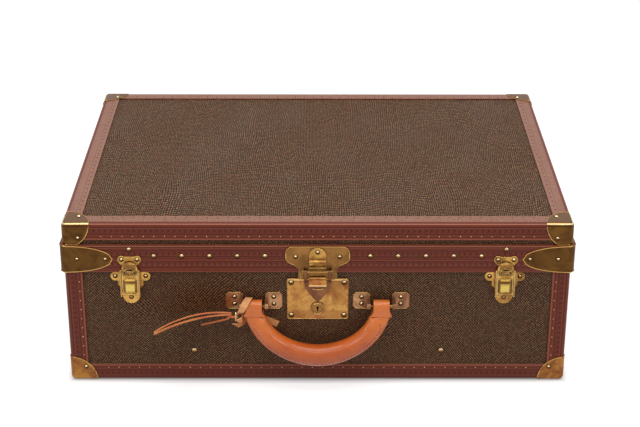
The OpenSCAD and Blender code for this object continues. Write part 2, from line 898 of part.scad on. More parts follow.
// Winged plate with a straight neck, drawn for x and z
function hasp_half() =
    let (corner = 8.5, low_corner = 6.5, hollow = 11, foot = 3)
    concat(
        arc([hasp_wing - corner, hasp_top - corner], corner, 90, 0, 6),
        arc([hasp_wing - low_corner, hasp_rivet_z - 2], low_corner, 0, -50, 5),
        arc([hasp_neck + hollow, z_band0 + 1], hollow, 125, 180, 6),
        arc([hasp_neck - foot, hasp_low + foot], foot, 0, -90, 4));

function mirrored(pts) = concat(pts, [for (i = [len(pts) - 1:-1:0]) [-pts[i][0], pts[i][1]]]);

module hasp_bore(r) {
    translate([0, y_hasp, z_hasp]) rotate([0, 90, 0]) cylinder(r = r, h = 60, center = true, $fn = 32);
}

module hasp_plate() {
    lug_mid = tongue_half + side_gap + hasp_lug_w/2;
    color(brass) difference() {
        union() {
            on_front(-yband, hasp_t) polygon(mirrored(hasp_half()));
            for (sx = [-1, 1]) hasp_lug(sx*lug_mid);
        }
        hasp_rivet_places() shank_hole(band_t + grip_canvas);
        spring_rivet_place() shank_hole(band_t + grip_canvas);
        hasp_bore(hasp_pin_r + pin_play);
    }
}

// Ear round the hasp's hinge line, from the plate out to the pin
module hasp_lug(x) {
    root = hasp_knuckle + 2;
    along_x(x - hasp_lug_w/2, x + hasp_lug_w/2) polygon(concat(
        [[hasp_face + hasp_t/2, z_hasp - root], [hasp_face + hasp_t/2, z_hasp + root]],
        arc([y_hasp, z_hasp], hasp_knuckle, 90, 270, quarter)));
}

module hasp_rivets() {
    color(bright_brass) {
        hasp_rivet_places() translate([0, 0, hasp_t])
            rivet(small_head_d, hasp_t + band_t + grip_canvas);
        spring_rivet_place() translate([0, 0, hasp_t + spring_t])
            rivet(small_head_d, hasp_t + spring_t + band_t + grip_canvas);
    }
}

// Spring strap: flat under its rivet, a rolled bulge, and a lip that ends above the hinge line
module hasp_spring() {
    roll_z = z_hasp + 11.5;
    roll_r = 4;
    roll_out = 2.4;
    end_z = z_hasp + hasp_knuckle + 1;
    lip = 3.4;
    color(brass) difference() {
        union() {
            on_front(hasp_face, spring_t) polygon(concat(
                arc([0, hasp_top - 1 - spring_half], spring_half, 0, 180, 12),
                [[-spring_half, roll_z], [spring_half, roll_z]]));
            along_x(-spring_half, spring_half) polygon(concat(
                arc([hasp_face - roll_out, roll_z], roll_r, 90, 270, 12),
                [[hasp_face - spring_t, roll_z - roll_r], [hasp_face - lip, end_z],
                    [hasp_face - lip + spring_t, end_z], [hasp_face, roll_z - roll_r - 1],
                    [hasp_face, roll_z + roll_r]]));
        }
        spring_rivet_place() translate([0, 0, hasp_t]) shank_hole(hasp_t + band_t + grip_canvas);
    }
}

module hasp_pin() {
    half = tongue_half + side_gap + hasp_lug_w;
    color(brass) translate([-half, y_hasp, z_hasp]) rotate([0, 90, 0])
        cylinder(r = hasp_pin_r, h = 2*half, $fn = 32);
}

// Half of the shield's outline, narrowing in a slight curve from its shoulder to its tip
function shield_half(top, shoulder, tip) = concat([[tongue_half, top], [tongue_half, shoulder]],
    [for (i = [1:8]) [tongue_half*(1 - pow(i/8, 1.7)), shoulder - (shoulder - tip)*i/8]]);

// Tongue: cheeks with knuckles in front of the plate, a flap ending in a roll, and a shield
// with a staple on its back
module hasp_tongue() {
    back = -ys - lock_t - 1;
    front = back - tongue_plate;
    before = hasp_face - 0.5;
    top = hasp_low - 0.8;
    shoulder = z_hasp - 17;
    tip = z_hasp - hasp_l;
    cheek = 3;
    roll_r = 2.2;
    roll_z = shoulder - roll_r;
    flap_top = z_hasp - 8;
    flap_t = 1.8;
    flap_half = spring_half + 0.4;
    root = back - tongue_plate/4 - y_hasp;
    end = y_bolt + bolt_r + bolt_gap + staple_wall - y_hasp;
    color(brass) difference() {
        union() {
            on_front(back, tongue_plate) polygon(mirrored(shield_half(top, shoulder, tip)));
            for (sx = [-1, 1]) along_x(sx*(tongue_half - cheek/2) - cheek/2,
                sx*(tongue_half - cheek/2) + cheek/2) polygon(concat(
                    arc([y_hasp, z_hasp], hasp_knuckle, 0, 180, 10),
                    [[before - flap_t, top], [front, shoulder], [back, shoulder], [back, top],
                        [before, top], [before, z_hasp - hasp_knuckle]]));
            along_x(-flap_half, flap_half) polygon(concat(
                [[before, flap_top], [before - flap_t, flap_top], [before - flap_t, top]],
                arc([front - roll_r + 0.4, roll_z], roll_r, 150, 270, 8),
                [[front + 0.4, roll_z - roll_r], [front + 0.4, top], [before, top]]));
            along_x(-staple_half, staple_half) polygon(concat(
                arc([y_hasp, z_hasp], staple_out, -acos(root/staple_out), -acos(end/staple_out), 8),
                arc([y_hasp, z_hasp], staple_in, -acos(end/staple_in), -acos(root/staple_in), 8)));
        }
        hasp_bore(hasp_pin_r + pin_play);
        translate([0, y_bolt, z_bolt]) rotate([0, 90, 0])
            cylinder(r = bolt_r + bolt_gap, h = 4*staple_half, center = true, $fn = 32);
    }
}

// Latches

// Plate with two ears and a round foot, drawn for the latch at x = 0
function latch_half_outline() =
    let (ear_r = 5.8, step = z_ear - 12, slant = 5, foot_rise = 2)
    concat(
        [[latch_half, latch_top]],
        arc([ear_x, z_ear], ear_r, 60, -90, 8),
        [[latch_half, z_ear - ear_r], [latch_half, step], [latch_foot, step - slant]],
        arc([0, z_foot + foot_rise], latch_foot, 0, -90, 7));

module hook_bore() {
    translate([0, y_hook, z_hook]) rotate([0, 90, 0])
        cylinder(r = hook_pin_r + pin_play, h = 60, center = true, $fn = 32);
}

module latch_plate() {
    foot = 4;
    nib = 3;
    rail = 1.6;
    high = z_rim - 8;
    before = -yband - 0.6;
    face = -ys - latch_t/2;
    mid = cheek_x + cheek_t/2;
    difference() {
        union() {
            on_front(-ys, latch_t) polygon(mirrored(latch_half_outline()));
            for (sx = [-1, 1]) along_x(sx*mid - cheek_t/2, sx*mid + cheek_t/2)
                polygon([[face, z_hook - foot], [y_hook - hook_barrel, z_hook - nib],
                    [y_hook - hook_barrel, z_hook + nib], [y_hook - rail, high], [before, high],
                    [before, latch_top], [face, latch_top]]);
        }
        translate([-latch_x, 0, 0]) latch_rivet_places() shank_hole(grip_canvas);
        hook_bore();
    }
}

module latch_plates() {
    color(brass) mirror_copy([1, 0, 0]) translate([latch_x, 0, 0]) latch_plate();
}

module latch_rivets() {
    color(bright_brass) latch_rivet_places() translate([0, 0, latch_t])
        rivet(small_head_d, latch_t + grip_canvas);
}

module latch_pins() {
    half = cheek_x + cheek_t;
    color(brass) mirror_copy([1, 0, 0]) translate([latch_x - half, y_hook, z_hook]) rotate([0, 90, 0])
        cylinder(r = hook_pin_r, h = 2*half, $fn = 32);
}

function half_disc(z, r, n) = arc([0, z], r, 0, 180, n);

// Domed hook with a lever plate, turning on the pin at its foot; the keeper's nose stands in
// its half-moon window
module latch_hook() {
    dome = z_hook + hook_l - hook_half;
    face = y_hook + hook_t/2;
    raise = 1.4;
    margin = 1.4;
    lever_half = 6.5;
    lever_z = [z_hook + 3, z_hook + 20];
    difference() {
        union() {
            on_front(face, hook_t) polygon(concat(half_disc(dome, hook_half, 16),
                [[-hook_half, z_hook + 1], [hook_half, z_hook + 1]]));
            translate([-hook_half, y_hook, z_hook]) rotate([0, 90, 0])
                cylinder(r = hook_barrel, h = 2*hook_half, $fn = 32);
            on_front(face - hook_t/2, hook_t/2 + raise)
                polygon(half_disc(z_window - 0.8, hook_half - margin, 12));
            on_front(face - hook_t/2, hook_t/2 + raise) translate([0, (lever_z[0] + lever_z[1])/2])
                polygon(round_rect(lever_half, (lever_z[1] - lever_z[0])/2, 1, 3));
        }
        on_front(0, far) polygon(half_disc(z_window, window_r, 12));
        hook_bore();
    }
}

module left_latch_hook() {
    color(brass) translate([-latch_x, 0, 0]) latch_hook();
}

module right_latch_hook() {
    color(brass) translate([latch_x, 0, 0]) latch_hook();
}

// Keeper: two riveted eyes joined by a bow, and a plate behind the hook with a nose in front
module keeper() {
    eye = 4.6;
    z = z_rim + keeper_up;
    waist = z_rim - 4;
    low = z_window + 0.4;
    plate_half = hook_half - 2;
    nose_z = z_window + 1;
    nose_out = keeper_t + hook_gap + hook_t + 0.6;
    difference() {
        union() {
            on_front(-yband, keeper_t) polygon(mirrored(concat(
                arc([keeper_x, z], eye, 130, -40, 10), [[plate_half, waist], [plate_half, low]])));
            block([-nose_half, -yband - nose_out, nose_z], [nose_half, -yband - keeper_t/2, nose_z + nose_h]);
        }
        translate([-latch_x, 0, 0]) keeper_rivet_places() shank_hole(band_t + grip_canvas);
    }
}

module latch_keepers() {
    color(brass) mirror_copy([1, 0, 0]) translate([latch_x, 0, 0]) keeper();
}

module keeper_rivets() {
    color(bright_brass) keeper_rivet_places() translate([0, 0, keeper_t])
        rivet(small_head_d, keeper_t + band_t + grip_canvas);
}

// Handle

// Cut-cornered bracket with an ear for the pin; side is where the ear stands
module bracket(side) {
    ear_at = side*(bracket_w/2 + ear_over - ear_w/2);
    corner = 3;
    difference() {
        union() {
            on_front(0, bracket_t) polygon(cut_rect(bracket_w/2, bracket_h/2, corner));
            translate([0, 0, -bracket_rise]) along_x(ear_at - ear_w/2, ear_at + ear_w/2) polygon(concat(
                [[-bracket_t/2, -bracket_ear_r - 1], [-bracket_t/2, bracket_ear_r + 1]],
                arc([-handle_out, 0], bracket_ear_r, 90, 270, quarter)));
        }
        for (s = [-1, 1]) translate([0, 0, s*bracket_rivets/2]) face_front() shank_hole(grip_canvas);
        translate([0, -handle_out, -bracket_rise]) rotate([0, 90, 0])
            cylinder(r = bore_r, h = 60, center = true, $fn = 32);
    }
}

module handle_brackets() {
    color(brass) for (side = [-1, 1], off = [-1, 1])
        translate([side*handle_half + off*bracket_off, -ys, z_handle + bracket_rise]) bracket(-off);
}

module bracket_rivets() {
    color(bright_brass) bracket_rivet_places() translate([0, 0, bracket_t])
        rivet(small_head_d, bracket_t + grip_canvas);
}

module handle_pins() {
    color(brass) for (side = [-1, 1])
        translate([side*handle_half - pin_half, y_handle, z_handle]) rotate([0, 90, 0])
            cylinder(r = pin_r, h = 2*pin_half, $fn = 32);
}

// The hanging handle's own frame: pivot line on the x axis, leaning outward
module handle_frame() {
    translate([0, y_handle, z_handle]) rotate([-handle_tilt, 0, 0]) children();
}

// Middle line of the grip, from the underside of one squared end to the other
function grip_line() =
    let (p = 2/grip_power, t0 = asin(pow((end_h + grip_lead)/grip_drop, 1/p)))
    concat([[grip_shift - handle_half, -end_h]],
        [for (i = [0:grip_rings]) let (t = 180 - t0 - (180 - 2*t0)*i/grip_rings)
            [handle_half*sign(cos(t))*pow(abs(cos(t)), p), -grip_drop*pow(sin(t), p)]],
        [[handle_half - grip_shift, -end_h]]);

// Ring of points round the middle line; share runs from 0 at an end to 1 on the full grip
function grip_ring(p, dir, rx, ry, sides, power) =
    [for (k = [0:sides - 1]) let (a = 360*k/sides, e = 2/power,
        u = rx*sign(cos(a))*pow(abs(cos(a)), e), v = ry*sign(sin(a))*pow(abs(sin(a)), e))
        [p[0] - u*dir[1], v, p[1] + u*dir[0]]];

function unit(v) = v/norm(v);
function line_dir(line, i) = i == 0 ? [0, -1] : i == len(line) - 1 ? [0, 1]
    : unit(line[i + 1] - line[i - 1]);
function fullness(line, i) = min(1, min(i, len(line) - 1 - i)/2);

function grip_rings_of(line, full, sides) =
    [for (i = [0:len(line) - 1]) let (s = fullness(line, i), inset = 0.4,
        r = full + grip_belly*pow(sin(180*i/(len(line) - 1)), 3))
        each grip_ring(line[i], line_dir(line, i), (end_w/2 + end_flare - inset)*(1 - s) + r*s,
            (end_r - inset)*(1 - s) + r*s, sides, 3.2 - 1.2*s)];
function round_rings_of(line, r, sides) =
    [for (i = [0:len(line) - 1]) each grip_ring(line[i], line_dir(line, i), r, r, sides, 2)];

// Side faces of a swept ring of points, turned over when inside is true
function sweep_sides(rings, sides, first, inside) =
    [for (i = [0:rings - 2], k = [0:sides - 1]) let (
        a = first + i*sides + k, b = first + i*sides + (k + 1)%sides, c = a + sides, d = b + sides)
        each inside ? [[a, c, b], [b, c, d]] : [[a, b, c], [b, d, c]]];
function sweep_cap(sides, first, turned) =
    [for (k = [1:sides - 2]) turned ? [first, first + k, first + k + 1] : [first, first + k + 1, first + k]];
function annulus(sides, outer, inner, turned) =
    [for (k = [0:sides - 1]) let (a = outer + k, b = outer + (k + 1)%sides, c = inner + k,
        d = inner + (k + 1)%sides)
        each turned ? [[a, c, b], [b, c, d]] : [[a, b, c], [b, d, c]]];

module handle_core() {
    line = grip_line();
    n = len(line);
    sides = 12;
    color(steel) handle_frame() polyhedron(round_rings_of(line, core_r, sides), concat(
        sweep_sides(n, sides, 0, false), sweep_cap(sides, 0, false),
        sweep_cap(sides, (n - 1)*sides, true)), convexity = 6);
}

// Leather sleeve round the core, squared where it meets the ends
module handle_grip() {
    line = grip_line();
    n = len(line);
    sides = grip_sides;
    inner = n*sides;
    last = (n - 1)*sides;
    color(handle_tan) handle_frame() polyhedron(
        concat(grip_rings_of(line, grip_r, sides),
            round_rings_of(line, (core_r + core_gap)/cos(180/sides), sides)),
        concat(sweep_sides(n, sides, 0, false), sweep_sides(n, sides, inner, true),
            annulus(sides, 0, inner, true), annulus(sides, last, inner + last, false)), convexity = 8);
}

// Squared leather ends on the pins, widening below them to the width of the grip
module handle_ends() {
    flare_top = bracket_ear_r + 1;
    flare_low = end_h - 2;
    half = end_w/2 + end_flare;
    color(handle_tan) handle_frame() for (side = [-1, 1])
        difference() {
            intersection() {
                along_x(side*handle_half - half, side*handle_half + half) polygon(concat(
                    arc([0, 0], end_r, 0, 180, 16), [[-end_r, -end_h], [end_r, -end_h]]));
                translate([side*handle_half, end_r + 1, 0]) rotate([90, 0, 0])
                    linear_extrude(2*end_r + 2) polygon(mirrored([[end_w/2, end_r + 1],
                        [end_w/2, -flare_top], [half, -flare_low], [half, -end_h - 1]]));
            }
            translate([side*handle_half, 0, 0]) rotate([0, 90, 0])
                cylinder(r = bush_r, h = end_w + 2, center = true, $fn = 32);
        }
}

module handle_bushes() {
    color(steel) handle_frame() for (side = [-1, 1])
        translate([side*handle_half, 0, 0]) rotate([0, 90, 0]) difference() {
            cylinder(r = bush_r, h = end_w, center = true, $fn = 32);
            cylinder(r = bore_r, h = end_w + 2, center = true, $fn = 32);
        }
}

// Tag

// Frame of the tag: its origin in the strap's buckle, its width leaning with the front edge up
module tag_frame() {
    translate([-handle_half, y_handle, z_handle] + tag_root) rotate([-tag_tilt, 0, 0]) children();
}

// Point in the tag's frame, at a distance along its thickness, measured from the handle's end
function at_root(x, w, n) = tag_root + [x, w*cos(tag_tilt) + n*sin(tag_tilt),
    n*cos(tag_tilt) - w*sin(tag_tilt)];
across = [0, cos(tag_tilt), -sin(tag_tilt)];

// Middle line of the strap's loop over the handle's left end, from that end's middle; each
// point comes with the direction of the strap's width
loop_line = [
    [at_root(0, 0, strap_off), across],
    [at_root(3.6, 0, strap_off + 0.4), across],
    [[-15, -12.4, -1], [0.7, 0.5, -0.5]],
    [[-12, -11.6, 5], [0.8, 0.2, -0.5]],
    [[-9, -7.4, 9], [0.9, 0.1, -0.3]],
    [[-6, 0, 10.8], [1, 0, 0]],
    [[-5, 7.4, 7.6], [1, 0, 0]],
    [[-5.5, 10.2, 1], [1, 0, 0]],
    [[-7.4, 10.9, -4.2], [0.83, 0, -0.56]],
    [[-11.8, 10, -10.6], [0.5, 0, -0.85]],
    [[-14.8, 4.5, -12.8], [0.2, 0, -1]],
    [[-14, -1, -13.5], [0, 0, -1]],
    [[-14.1, -8.5, -13.4], [0, 0, -1]],
    [at_root(4, -0.4, -strap_off), [0, 0.6, -0.8]],
    [at_root(1.5, 0, -strap_off), across],
    [at_root(0, 0, -strap_off), across]
];
// The same for the strap's free end, from below the buckle round behind the handle to its tip
end_line = [
    [at_root(-5, 7.6, -7.8), -across],
    [at_root(-1, 7.8, -8.4), [0, -0.8, 0.55]],
    [[-17.6, -5.4, -21.6], [0, -0.4, 0.9]],
    [[-14.4, 1, -22.6], [0, 0, 1]],
    [[-10.4, 8.6, -21.6], [0.1, 0, 1]],
    [[-4, 10.9, -21], [0.1, 0, 1]],
    [[4, 11.35, -21.4], [0.1, 0, 1]],
    [[16, 11.35, -24.4], [0.1, 0, 1]],
    [[28, 11.35, -30], [0.2, 0, 1]]
];

function strap_ring(c, dir, w) =
    let (t = unit(cross(dir, w)), s = unit(cross(t, dir)), a = s*strap_w/2, b = t*strap_t/2)
    [c - a - b, c + a - b, c + a + b, c - a + b];

// Side faces of the strap; both broad faces are divided along the same diagonal, so that a twisted
// stretch keeps its thickness
function strap_sides(rings) =
    [for (i = [0:rings - 2], k = [0:3]) let (
        a = 4*i + k, b = 4*i + (k + 1)%4, c = a + 4, d = b + 4)
        each k < 2 ? [[a, c, b], [b, c, d]] : [[a, d, b], [a, c, d]]];

module strap_sweep(line) {
    n = len(line);
    polyhedron([for (i = [0:n - 1]) each strap_ring(line[i][0],
            line[min(i + 1, n - 1)][0] - line[max(i - 1, 0)][0], line[i][1])],
        concat(strap_sides(n), sweep_cap(4, 0, true), sweep_cap(4, (n - 1)*4, false)),
        convexity = 6);
}

module tag_loop_strap() {
    color(strap_tan) translate([-handle_half, y_handle, z_handle]) {
        strap_sweep(loop_line);
        strap_sweep(end_line);
    }
}

// Rectangular frame that holds the strap's ends and the root of the tag
module tag_buckle() {
    color(bright_brass) tag_frame() translate([-buckle_bar/2, 0, 0]) rotate([90, 0, 90])
        linear_extrude(buckle_bar) difference() {
            polygon(round_rect(buckle_w/2, buckle_h/2, 1.5, 3));
            square([buckle_w - 2*buckle_bar, buckle_h - 2*buckle_bar], center = true);
        }
}

// Height of the leaves along their length: level at the root, drooping towards the tip
leaf_start = 5;
leaf_rise = 3.85;
leaf_level = 8;
leaf_droop = 22.9;
leaf_open = 2.6;
leaf_touch = 0.02;
function leaf_z(s) = leaf_rise - leaf_droop*pow(max(0, s - leaf_level)/(tag_l - leaf_level), 2);
function leaf_gap(s) = leaf_open*sin(180*s/tag_l);
function leaf_edge(up, out) = [for (i = [0:16]) let (s = tag_l*i/16)
    [-leaf_start - s, leaf_z(s) + up*(leaf_gap(s)/2 + leaf_touch + out)]];

// One of the two leaves that meet at the tip, its corners cut
module tag_leaf(up) {
    corner = 8;
    near = leaf_edge(up, 0);
    away = leaf_edge(up, leaf_t);
    intersection() {
        on_front(tag_w/2, tag_w) polygon(concat(near, [for (i = [len(away) - 1:-1:0]) away[i]]));
        translate([-leaf_start - tag_l/2, 0, -tag_l]) linear_extrude(2*tag_l)
            polygon(cut_rect(tag_l/2, tag_w/2, corner));
    }
}

module tag_leaves() {
    color(handle_tan) tag_frame() {
        tag_leaf(1);
        tag_leaf(-1);
    }
}

// Root strap: a round end inside the buckle, a neck under the leaves and a narrow tail below
module tag_tail() {
    neck = 9;
    tail_t = 2;
    seat = leaf_z(0) - leaf_t - leaf_touch;
    seat_end = seat - leaf_gap(neck - leaf_start)/2 - leaf_touch;
    under = -1.1;
    low = -3.2;
    sag = 0.22*tail_l;
    color(handle_tan) tag_frame() {
        rotate([90, 0, 0]) cylinder(r = root_r, h = 2*root_half, center = true, $fn = 32);
        on_front(root_half, 2*root_half) polygon([
            [0, under], [2 - neck, under], [-neck, low], [-neck - tail_l, low - sag],
            [-neck - tail_l, low - sag + tail_t], [-neck - 2, low + tail_t], [-neck, seat_end],
            [-leaf_start, seat], [-root_r, root_r/2], [0, root_r/2]]);
    }
}

// Packing straps in the base

module packing_straps() {
    z0 = z_floor + lining_t;
    past_stud = 6;
    top = stud_z + past_stud;
    color(handle_tan) difference() {
        for (sx = [-1, 1]) along_x(sx*pack_x - pack_w/2, sx*pack_x + pack_w/2) polygon([
            [-yl, z0], [yl, z0], [yl, top], [yl - pack_t, top], [yl - pack_t, z0 + pack_t],
            [-yl + pack_t, z0 + pack_t], [-yl + pack_t, top], [-yl, top]]);
        stud_places() shank_hole(trim_t + grip_canvas + lining_t + pack_t);
    }
}

module strap_buckles() {
    z0 = z_floor + lining_t + pack_t;
    bar = 4;
    half_l = 11;
    window = half_l - 1.5*bar;
    color(bright_brass) for (sx = [-1, 1]) translate([sx*pack_x, -yl/3, z0]) linear_extrude(pack_t)
        difference() {
            polygon(round_rect(pack_w/2 + bar, half_l, bar/2, 4));
            for (sy = [-1, 1]) translate([0, sy*(window + bar)/2])
                square([pack_w + 1, window], center = true);
        }
}

module strap_studs() {
    color(bright_brass) stud_places() rivet(stud_d, grip_canvas + lining_t + pack_t);
}

// Hinges

// Leaf of a hinge at x = 0 with its knuckles; side is -1 for the base and 1 for the lid
module hinge_leaf(side) {
    half = 1.5*knuckle_w;
    edge = (knuckle_w + side*-knuckle_gap)/2;
    near = z_hinge + side*(knuckle_r + knuckle_gap);
    away = z_hinge + side*leaf_h;
    root = z_hinge + side*0.5;
    spans = side < 0 ? [[-half, -edge], [edge, half]] : [[-edge, edge]];
    difference() {
        union() {
            block([-half, yband, min(near, away)], [half, yband + hinge_t, max(near, away)]);
            for (s = spans) {
                translate([s[0], y_hinge, z_hinge]) rotate([0, 90, 0])
                    cylinder(r = knuckle_r, h = s[1] - s[0], $fn = 32);
                block([s[0], yband, min(near, root)], [s[1], yband + hinge_t + knuckle_gap, max(near, root)]);
            }
        }
        translate([0, y_hinge, z_hinge]) rotate([0, 90, 0])
            cylinder(r = hinge_pin_r + pin_play, h = 4*half, center = true, $fn = 32);
        for (dx = [-1, 1]) translate([dx*knuckle_w, yband, z_hinge + side*(leaf_h - leaf_rivet_in)])
            rotate([-90, 0, 0]) shank_hole(band_t + grip_canvas);
    }
}

module hinge_base_leaves() {
    color(brass) mirror_copy([1, 0, 0]) translate([hinge_x, 0, 0]) hinge_leaf(-1);
}

module hinge_lid_leaves() {
    color(brass) mirror_copy([1, 0, 0]) translate([hinge_x, 0, 0]) hinge_leaf(1);
}

module hinge_base_rivets() {
    color(bright_brass) hinge_rivet_places(-1) translate([0, 0, hinge_t])
        rivet(small_head_d, hinge_t + band_t + grip_canvas);
}

module hinge_lid_rivets() {
    color(bright_brass) hinge_rivet_places(1) translate([0, 0, hinge_t])
        rivet(small_head_d, hinge_t + band_t + grip_canvas);
}

module hinge_pins() {
    half = 1.5*knuckle_w + 0.5;
    color(brass) for (sx = [-1, 1]) translate([sx*hinge_x - half, y_hinge, z_hinge]) rotate([0, 90, 0])
        cylinder(r = hinge_pin_r, h = 2*half, $fn = 32);
}

// Lid shell

module lid_top_board() {
    color(plywood) difference() {
        intersection() {
            board_block();
            block([-far, -far, z_roof], [far, far, far]);
        }
        lid_holes();
    }
}

module lid_long_boards() {
    color(plywood) difference() {
        long_boards(z_lid, z_roof);
        lid_holes();
    }
}

module lid_side_boards() {
    color(plywood) difference() {
        side_boards(z_lid, z_roof);
        lid_holes();
    }
}

module lid_canvas() {
    color(canvas_brown) difference() {
        intersection() {
            skin_solid();
            block([-far, -far, z_lid], [far, far, far]);
        }
        board_block();
        lid_holes();
    }
}

module lid_lining() {
    color(lining_tan) difference() {
        block([-xi, -yi, z_lid], [xi, yi, z_roof]);
        block([-xl, -yl, z_lid - 1], [xl, yl, z_roof - lining_t]);
    }
}

// Lid band

module band_plan(grow = 0) {
    polygon(round_rect(xband + grow, yband + grow, band_r + grow));
}

// Front and side strips are mitred at the front corners and butt against the back strip
module lid_band() {
    color(fibre_red) difference() {
        translate([0, 0, z_band0]) linear_extrude(z_band1 - z_band0) band_plan();
        block([-xs, -ys, 0], [xs, ys, z_top]);
        block([-xs - band_gap, -ys - band_gap, 0], [xs + band_gap, far, z_lid]);
        block([-far, ys, 0], [far, far, z_lid]);
        for (sx = [0, 1]) mirror([sx, 0, 0]) translate([xband, -yband, 0]) rotate([0, 0, 45])
            block([-slit/2, -4*band_t, 0], [slit/2, 4*band_t, z_top]);
        mirror_copy([1, 0, 0]) block([xs - strip_gap, ys - slit, 0], [far, ys, z_top]);
        lid_holes();
    }
}

module band_rivets() {
    color(bright_brass) band_rivet_places() rivet(large_head_d, band_t + grip_canvas);
}

// Outline of an end cap's lobe, from its corner at u = 0 to its tip
function lobe(reach, half) = concat(
    [[-20, half], [0, half]],
    [for (i = [1:15]) let (u = i/16) [reach*u, half*sqrt(1 - pow(u, 2.3))]],
    [[reach, 0]],
    [for (i = [15:-1:1]) let (u = i/16) [reach*u, -half*sqrt(1 - pow(u, 2.3))]],
    [[0, -half], [-20, -half]]);

module band_end_caps() {
    half = (z_band1 - z_band0)/2 - 0.3;
    color(brass) difference() {
        translate([0, 0, z_band0]) linear_extrude(z_band1 - z_band0) band_plan(cap_t);
        translate([0, 0, z_band0 - 1]) linear_extrude(z_band1 - z_band0 + 2) band_plan();
        block([-far, ys, 0], [far, far, z_lid]);
        mirror_copy([1, 0, 0]) {
            not_cap(far, half, end_cap_l) block([-xband + band_r, -far, 0], [0, 0, z_top]);
            not_cap(far, half, end_cap_l/2) block([-xband + band_r, 0, 0], [0, far, z_top]);
            mirror_copy([0, 1, 0]) side_not_cap(half) block([-far, -yband + band_r, 0], [0, 0, z_top]);
        }
        end_cap_rivet_places() shank_hole(band_t + grip_canvas);
    }
}

// What lies outside an end cap's lobe on the front or back, and on a side
module not_cap(reach, half, l) {
    difference() {
        children();
        translate([-xband, reach, band_mid]) rotate([90, 0, 0]) linear_extrude(2*reach)
            polygon(lobe(l, half));
    }
}
module side_not_cap(half) {
    difference() {
        children();
        translate([-far, -yband, band_mid]) rotate([90, 0, 90]) linear_extrude(2*far)
            polygon(lobe(end_cap_l, half));
    }
}

module band_cap_rivets() {
    color(bright_brass) end_cap_rivet_places() translate([0, 0, cap_t])
        rivet(small_head_d, cap_t + band_t + grip_canvas);
}

base_floor_board();
base_long_boards();
base_side_boards();
base_canvas();
base_lining();
rim_frame();
base_edge_trim();
base_trim_nails();
base_corner_caps();
base_cap_rivets();
base_back_strip();
lock_plate();
lock_rivets();
lock_case();
lock_plug();
lock_bolt();
handle_brackets();
bracket_rivets();
handle_pins();
latch_plates();
latch_rivets();
latch_pins();
packing_straps();
strap_buckles();
strap_studs();
hinge_base_leaves();
hinge_base_rivets();
hinge_pins();
lid_top_board();
lid_long_boards();
lid_side_boards();
lid_canvas();
lid_lining();
lid_edge_trim();
lid_trim_nails();
lid_corner_caps();
lid_cap_rivets();
lid_band();
band_rivets();
band_end_caps();
band_cap_rivets();
hasp_plate();
hasp_rivets();
hasp_spring();
hasp_pin();
hasp_tongue();
latch_keepers();
keeper_rivets();
hinge_lid_leaves();
hinge_lid_rivets();
left_latch_hook();
right_latch_hook();
handle_core();
handle_grip();
handle_ends();
handle_bushes();
tag_loop_strap();
tag_buckle();
tag_leaves();
tag_tail();
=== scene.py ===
import json
import math

import bmesh
import bpy
from mathutils.bvhtree import BVHTree
from mathutils import Matrix, Vector


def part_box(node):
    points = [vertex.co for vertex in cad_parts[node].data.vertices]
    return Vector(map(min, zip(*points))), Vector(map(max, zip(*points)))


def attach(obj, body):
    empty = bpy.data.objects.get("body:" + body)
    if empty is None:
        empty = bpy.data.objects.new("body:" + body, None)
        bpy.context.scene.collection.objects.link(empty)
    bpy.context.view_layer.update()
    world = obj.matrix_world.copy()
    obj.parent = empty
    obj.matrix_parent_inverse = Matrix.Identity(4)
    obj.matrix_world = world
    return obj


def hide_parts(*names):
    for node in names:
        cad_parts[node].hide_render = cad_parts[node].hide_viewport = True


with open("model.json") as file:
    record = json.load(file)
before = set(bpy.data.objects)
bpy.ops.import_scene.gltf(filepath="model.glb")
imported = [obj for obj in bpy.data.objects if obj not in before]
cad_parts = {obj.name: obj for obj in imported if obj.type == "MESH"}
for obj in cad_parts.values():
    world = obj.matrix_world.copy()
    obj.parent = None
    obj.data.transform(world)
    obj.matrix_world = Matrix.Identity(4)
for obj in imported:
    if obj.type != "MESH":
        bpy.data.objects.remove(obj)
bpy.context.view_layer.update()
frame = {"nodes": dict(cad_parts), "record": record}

NODES = frame["nodes"]
BODY_OF = {n: b for b, members in frame["record"]["behaviour"]["bodies"].items() for n in members}
MM = 0.001
# Vertices nearer to each other than this are one
WELD = 2e-6
# Half sizes of the case, the heights of its lowest and highest fibre, and its middle
CASE_HALF = (0.300, 0.220)
CASE_LOW, CASE_HIGH = 0.0008, 0.2108
CASE_MID = (0.0, 0.0, 0.105)

# Camera, solved from the straight edges of the case in the photograph

FOCAL_PX = 1590.75
PITCH = math.radians(24.51589)
YAW = math.radians(0.15755)
ROLL = math.radians(0.10351)
CAMERA_AT = (-0.00201, -1.90572, 0.99269)
PHOTO_WIDTH = 640.0
SENSOR_WIDTH = 36.0


def make_camera():
    forward = Vector((math.sin(YAW) * math.cos(PITCH), math.cos(YAW) * math.cos(PITCH), -math.sin(PITCH)))
    level = Vector((math.cos(YAW), -math.sin(YAW), 0.0))
    upright = level.cross(forward)
    right = level * math.cos(ROLL) + upright * math.sin(ROLL)
    up = upright * math.cos(ROLL) - level * math.sin(ROLL)
    cam = bpy.data.cameras.new("photo_camera")
    cam.sensor_fit = "HORIZONTAL"
    cam.sensor_width = SENSOR_WIDTH
    cam.lens = SENSOR_WIDTH * FOCAL_PX / PHOTO_WIDTH
    cam.clip_start = 0.05
    cam.clip_end = 60.0
    obj = bpy.data.objects.new("photo_camera", cam)
    bpy.context.scene.collection.objects.link(obj)
    m = Matrix((right, up, -forward)).transposed().to_4x4()
    m.translation = Vector(CAMERA_AT)
    obj.matrix_world = m
    bpy.context.scene.camera = obj


# Materials

def lin(c):
    """A colour step from 0 to 255 as a linear value."""
    c = c / 255.0
    return c / 12.92 if c <= 0.04045 else ((c + 0.055) / 1.055) ** 2.4


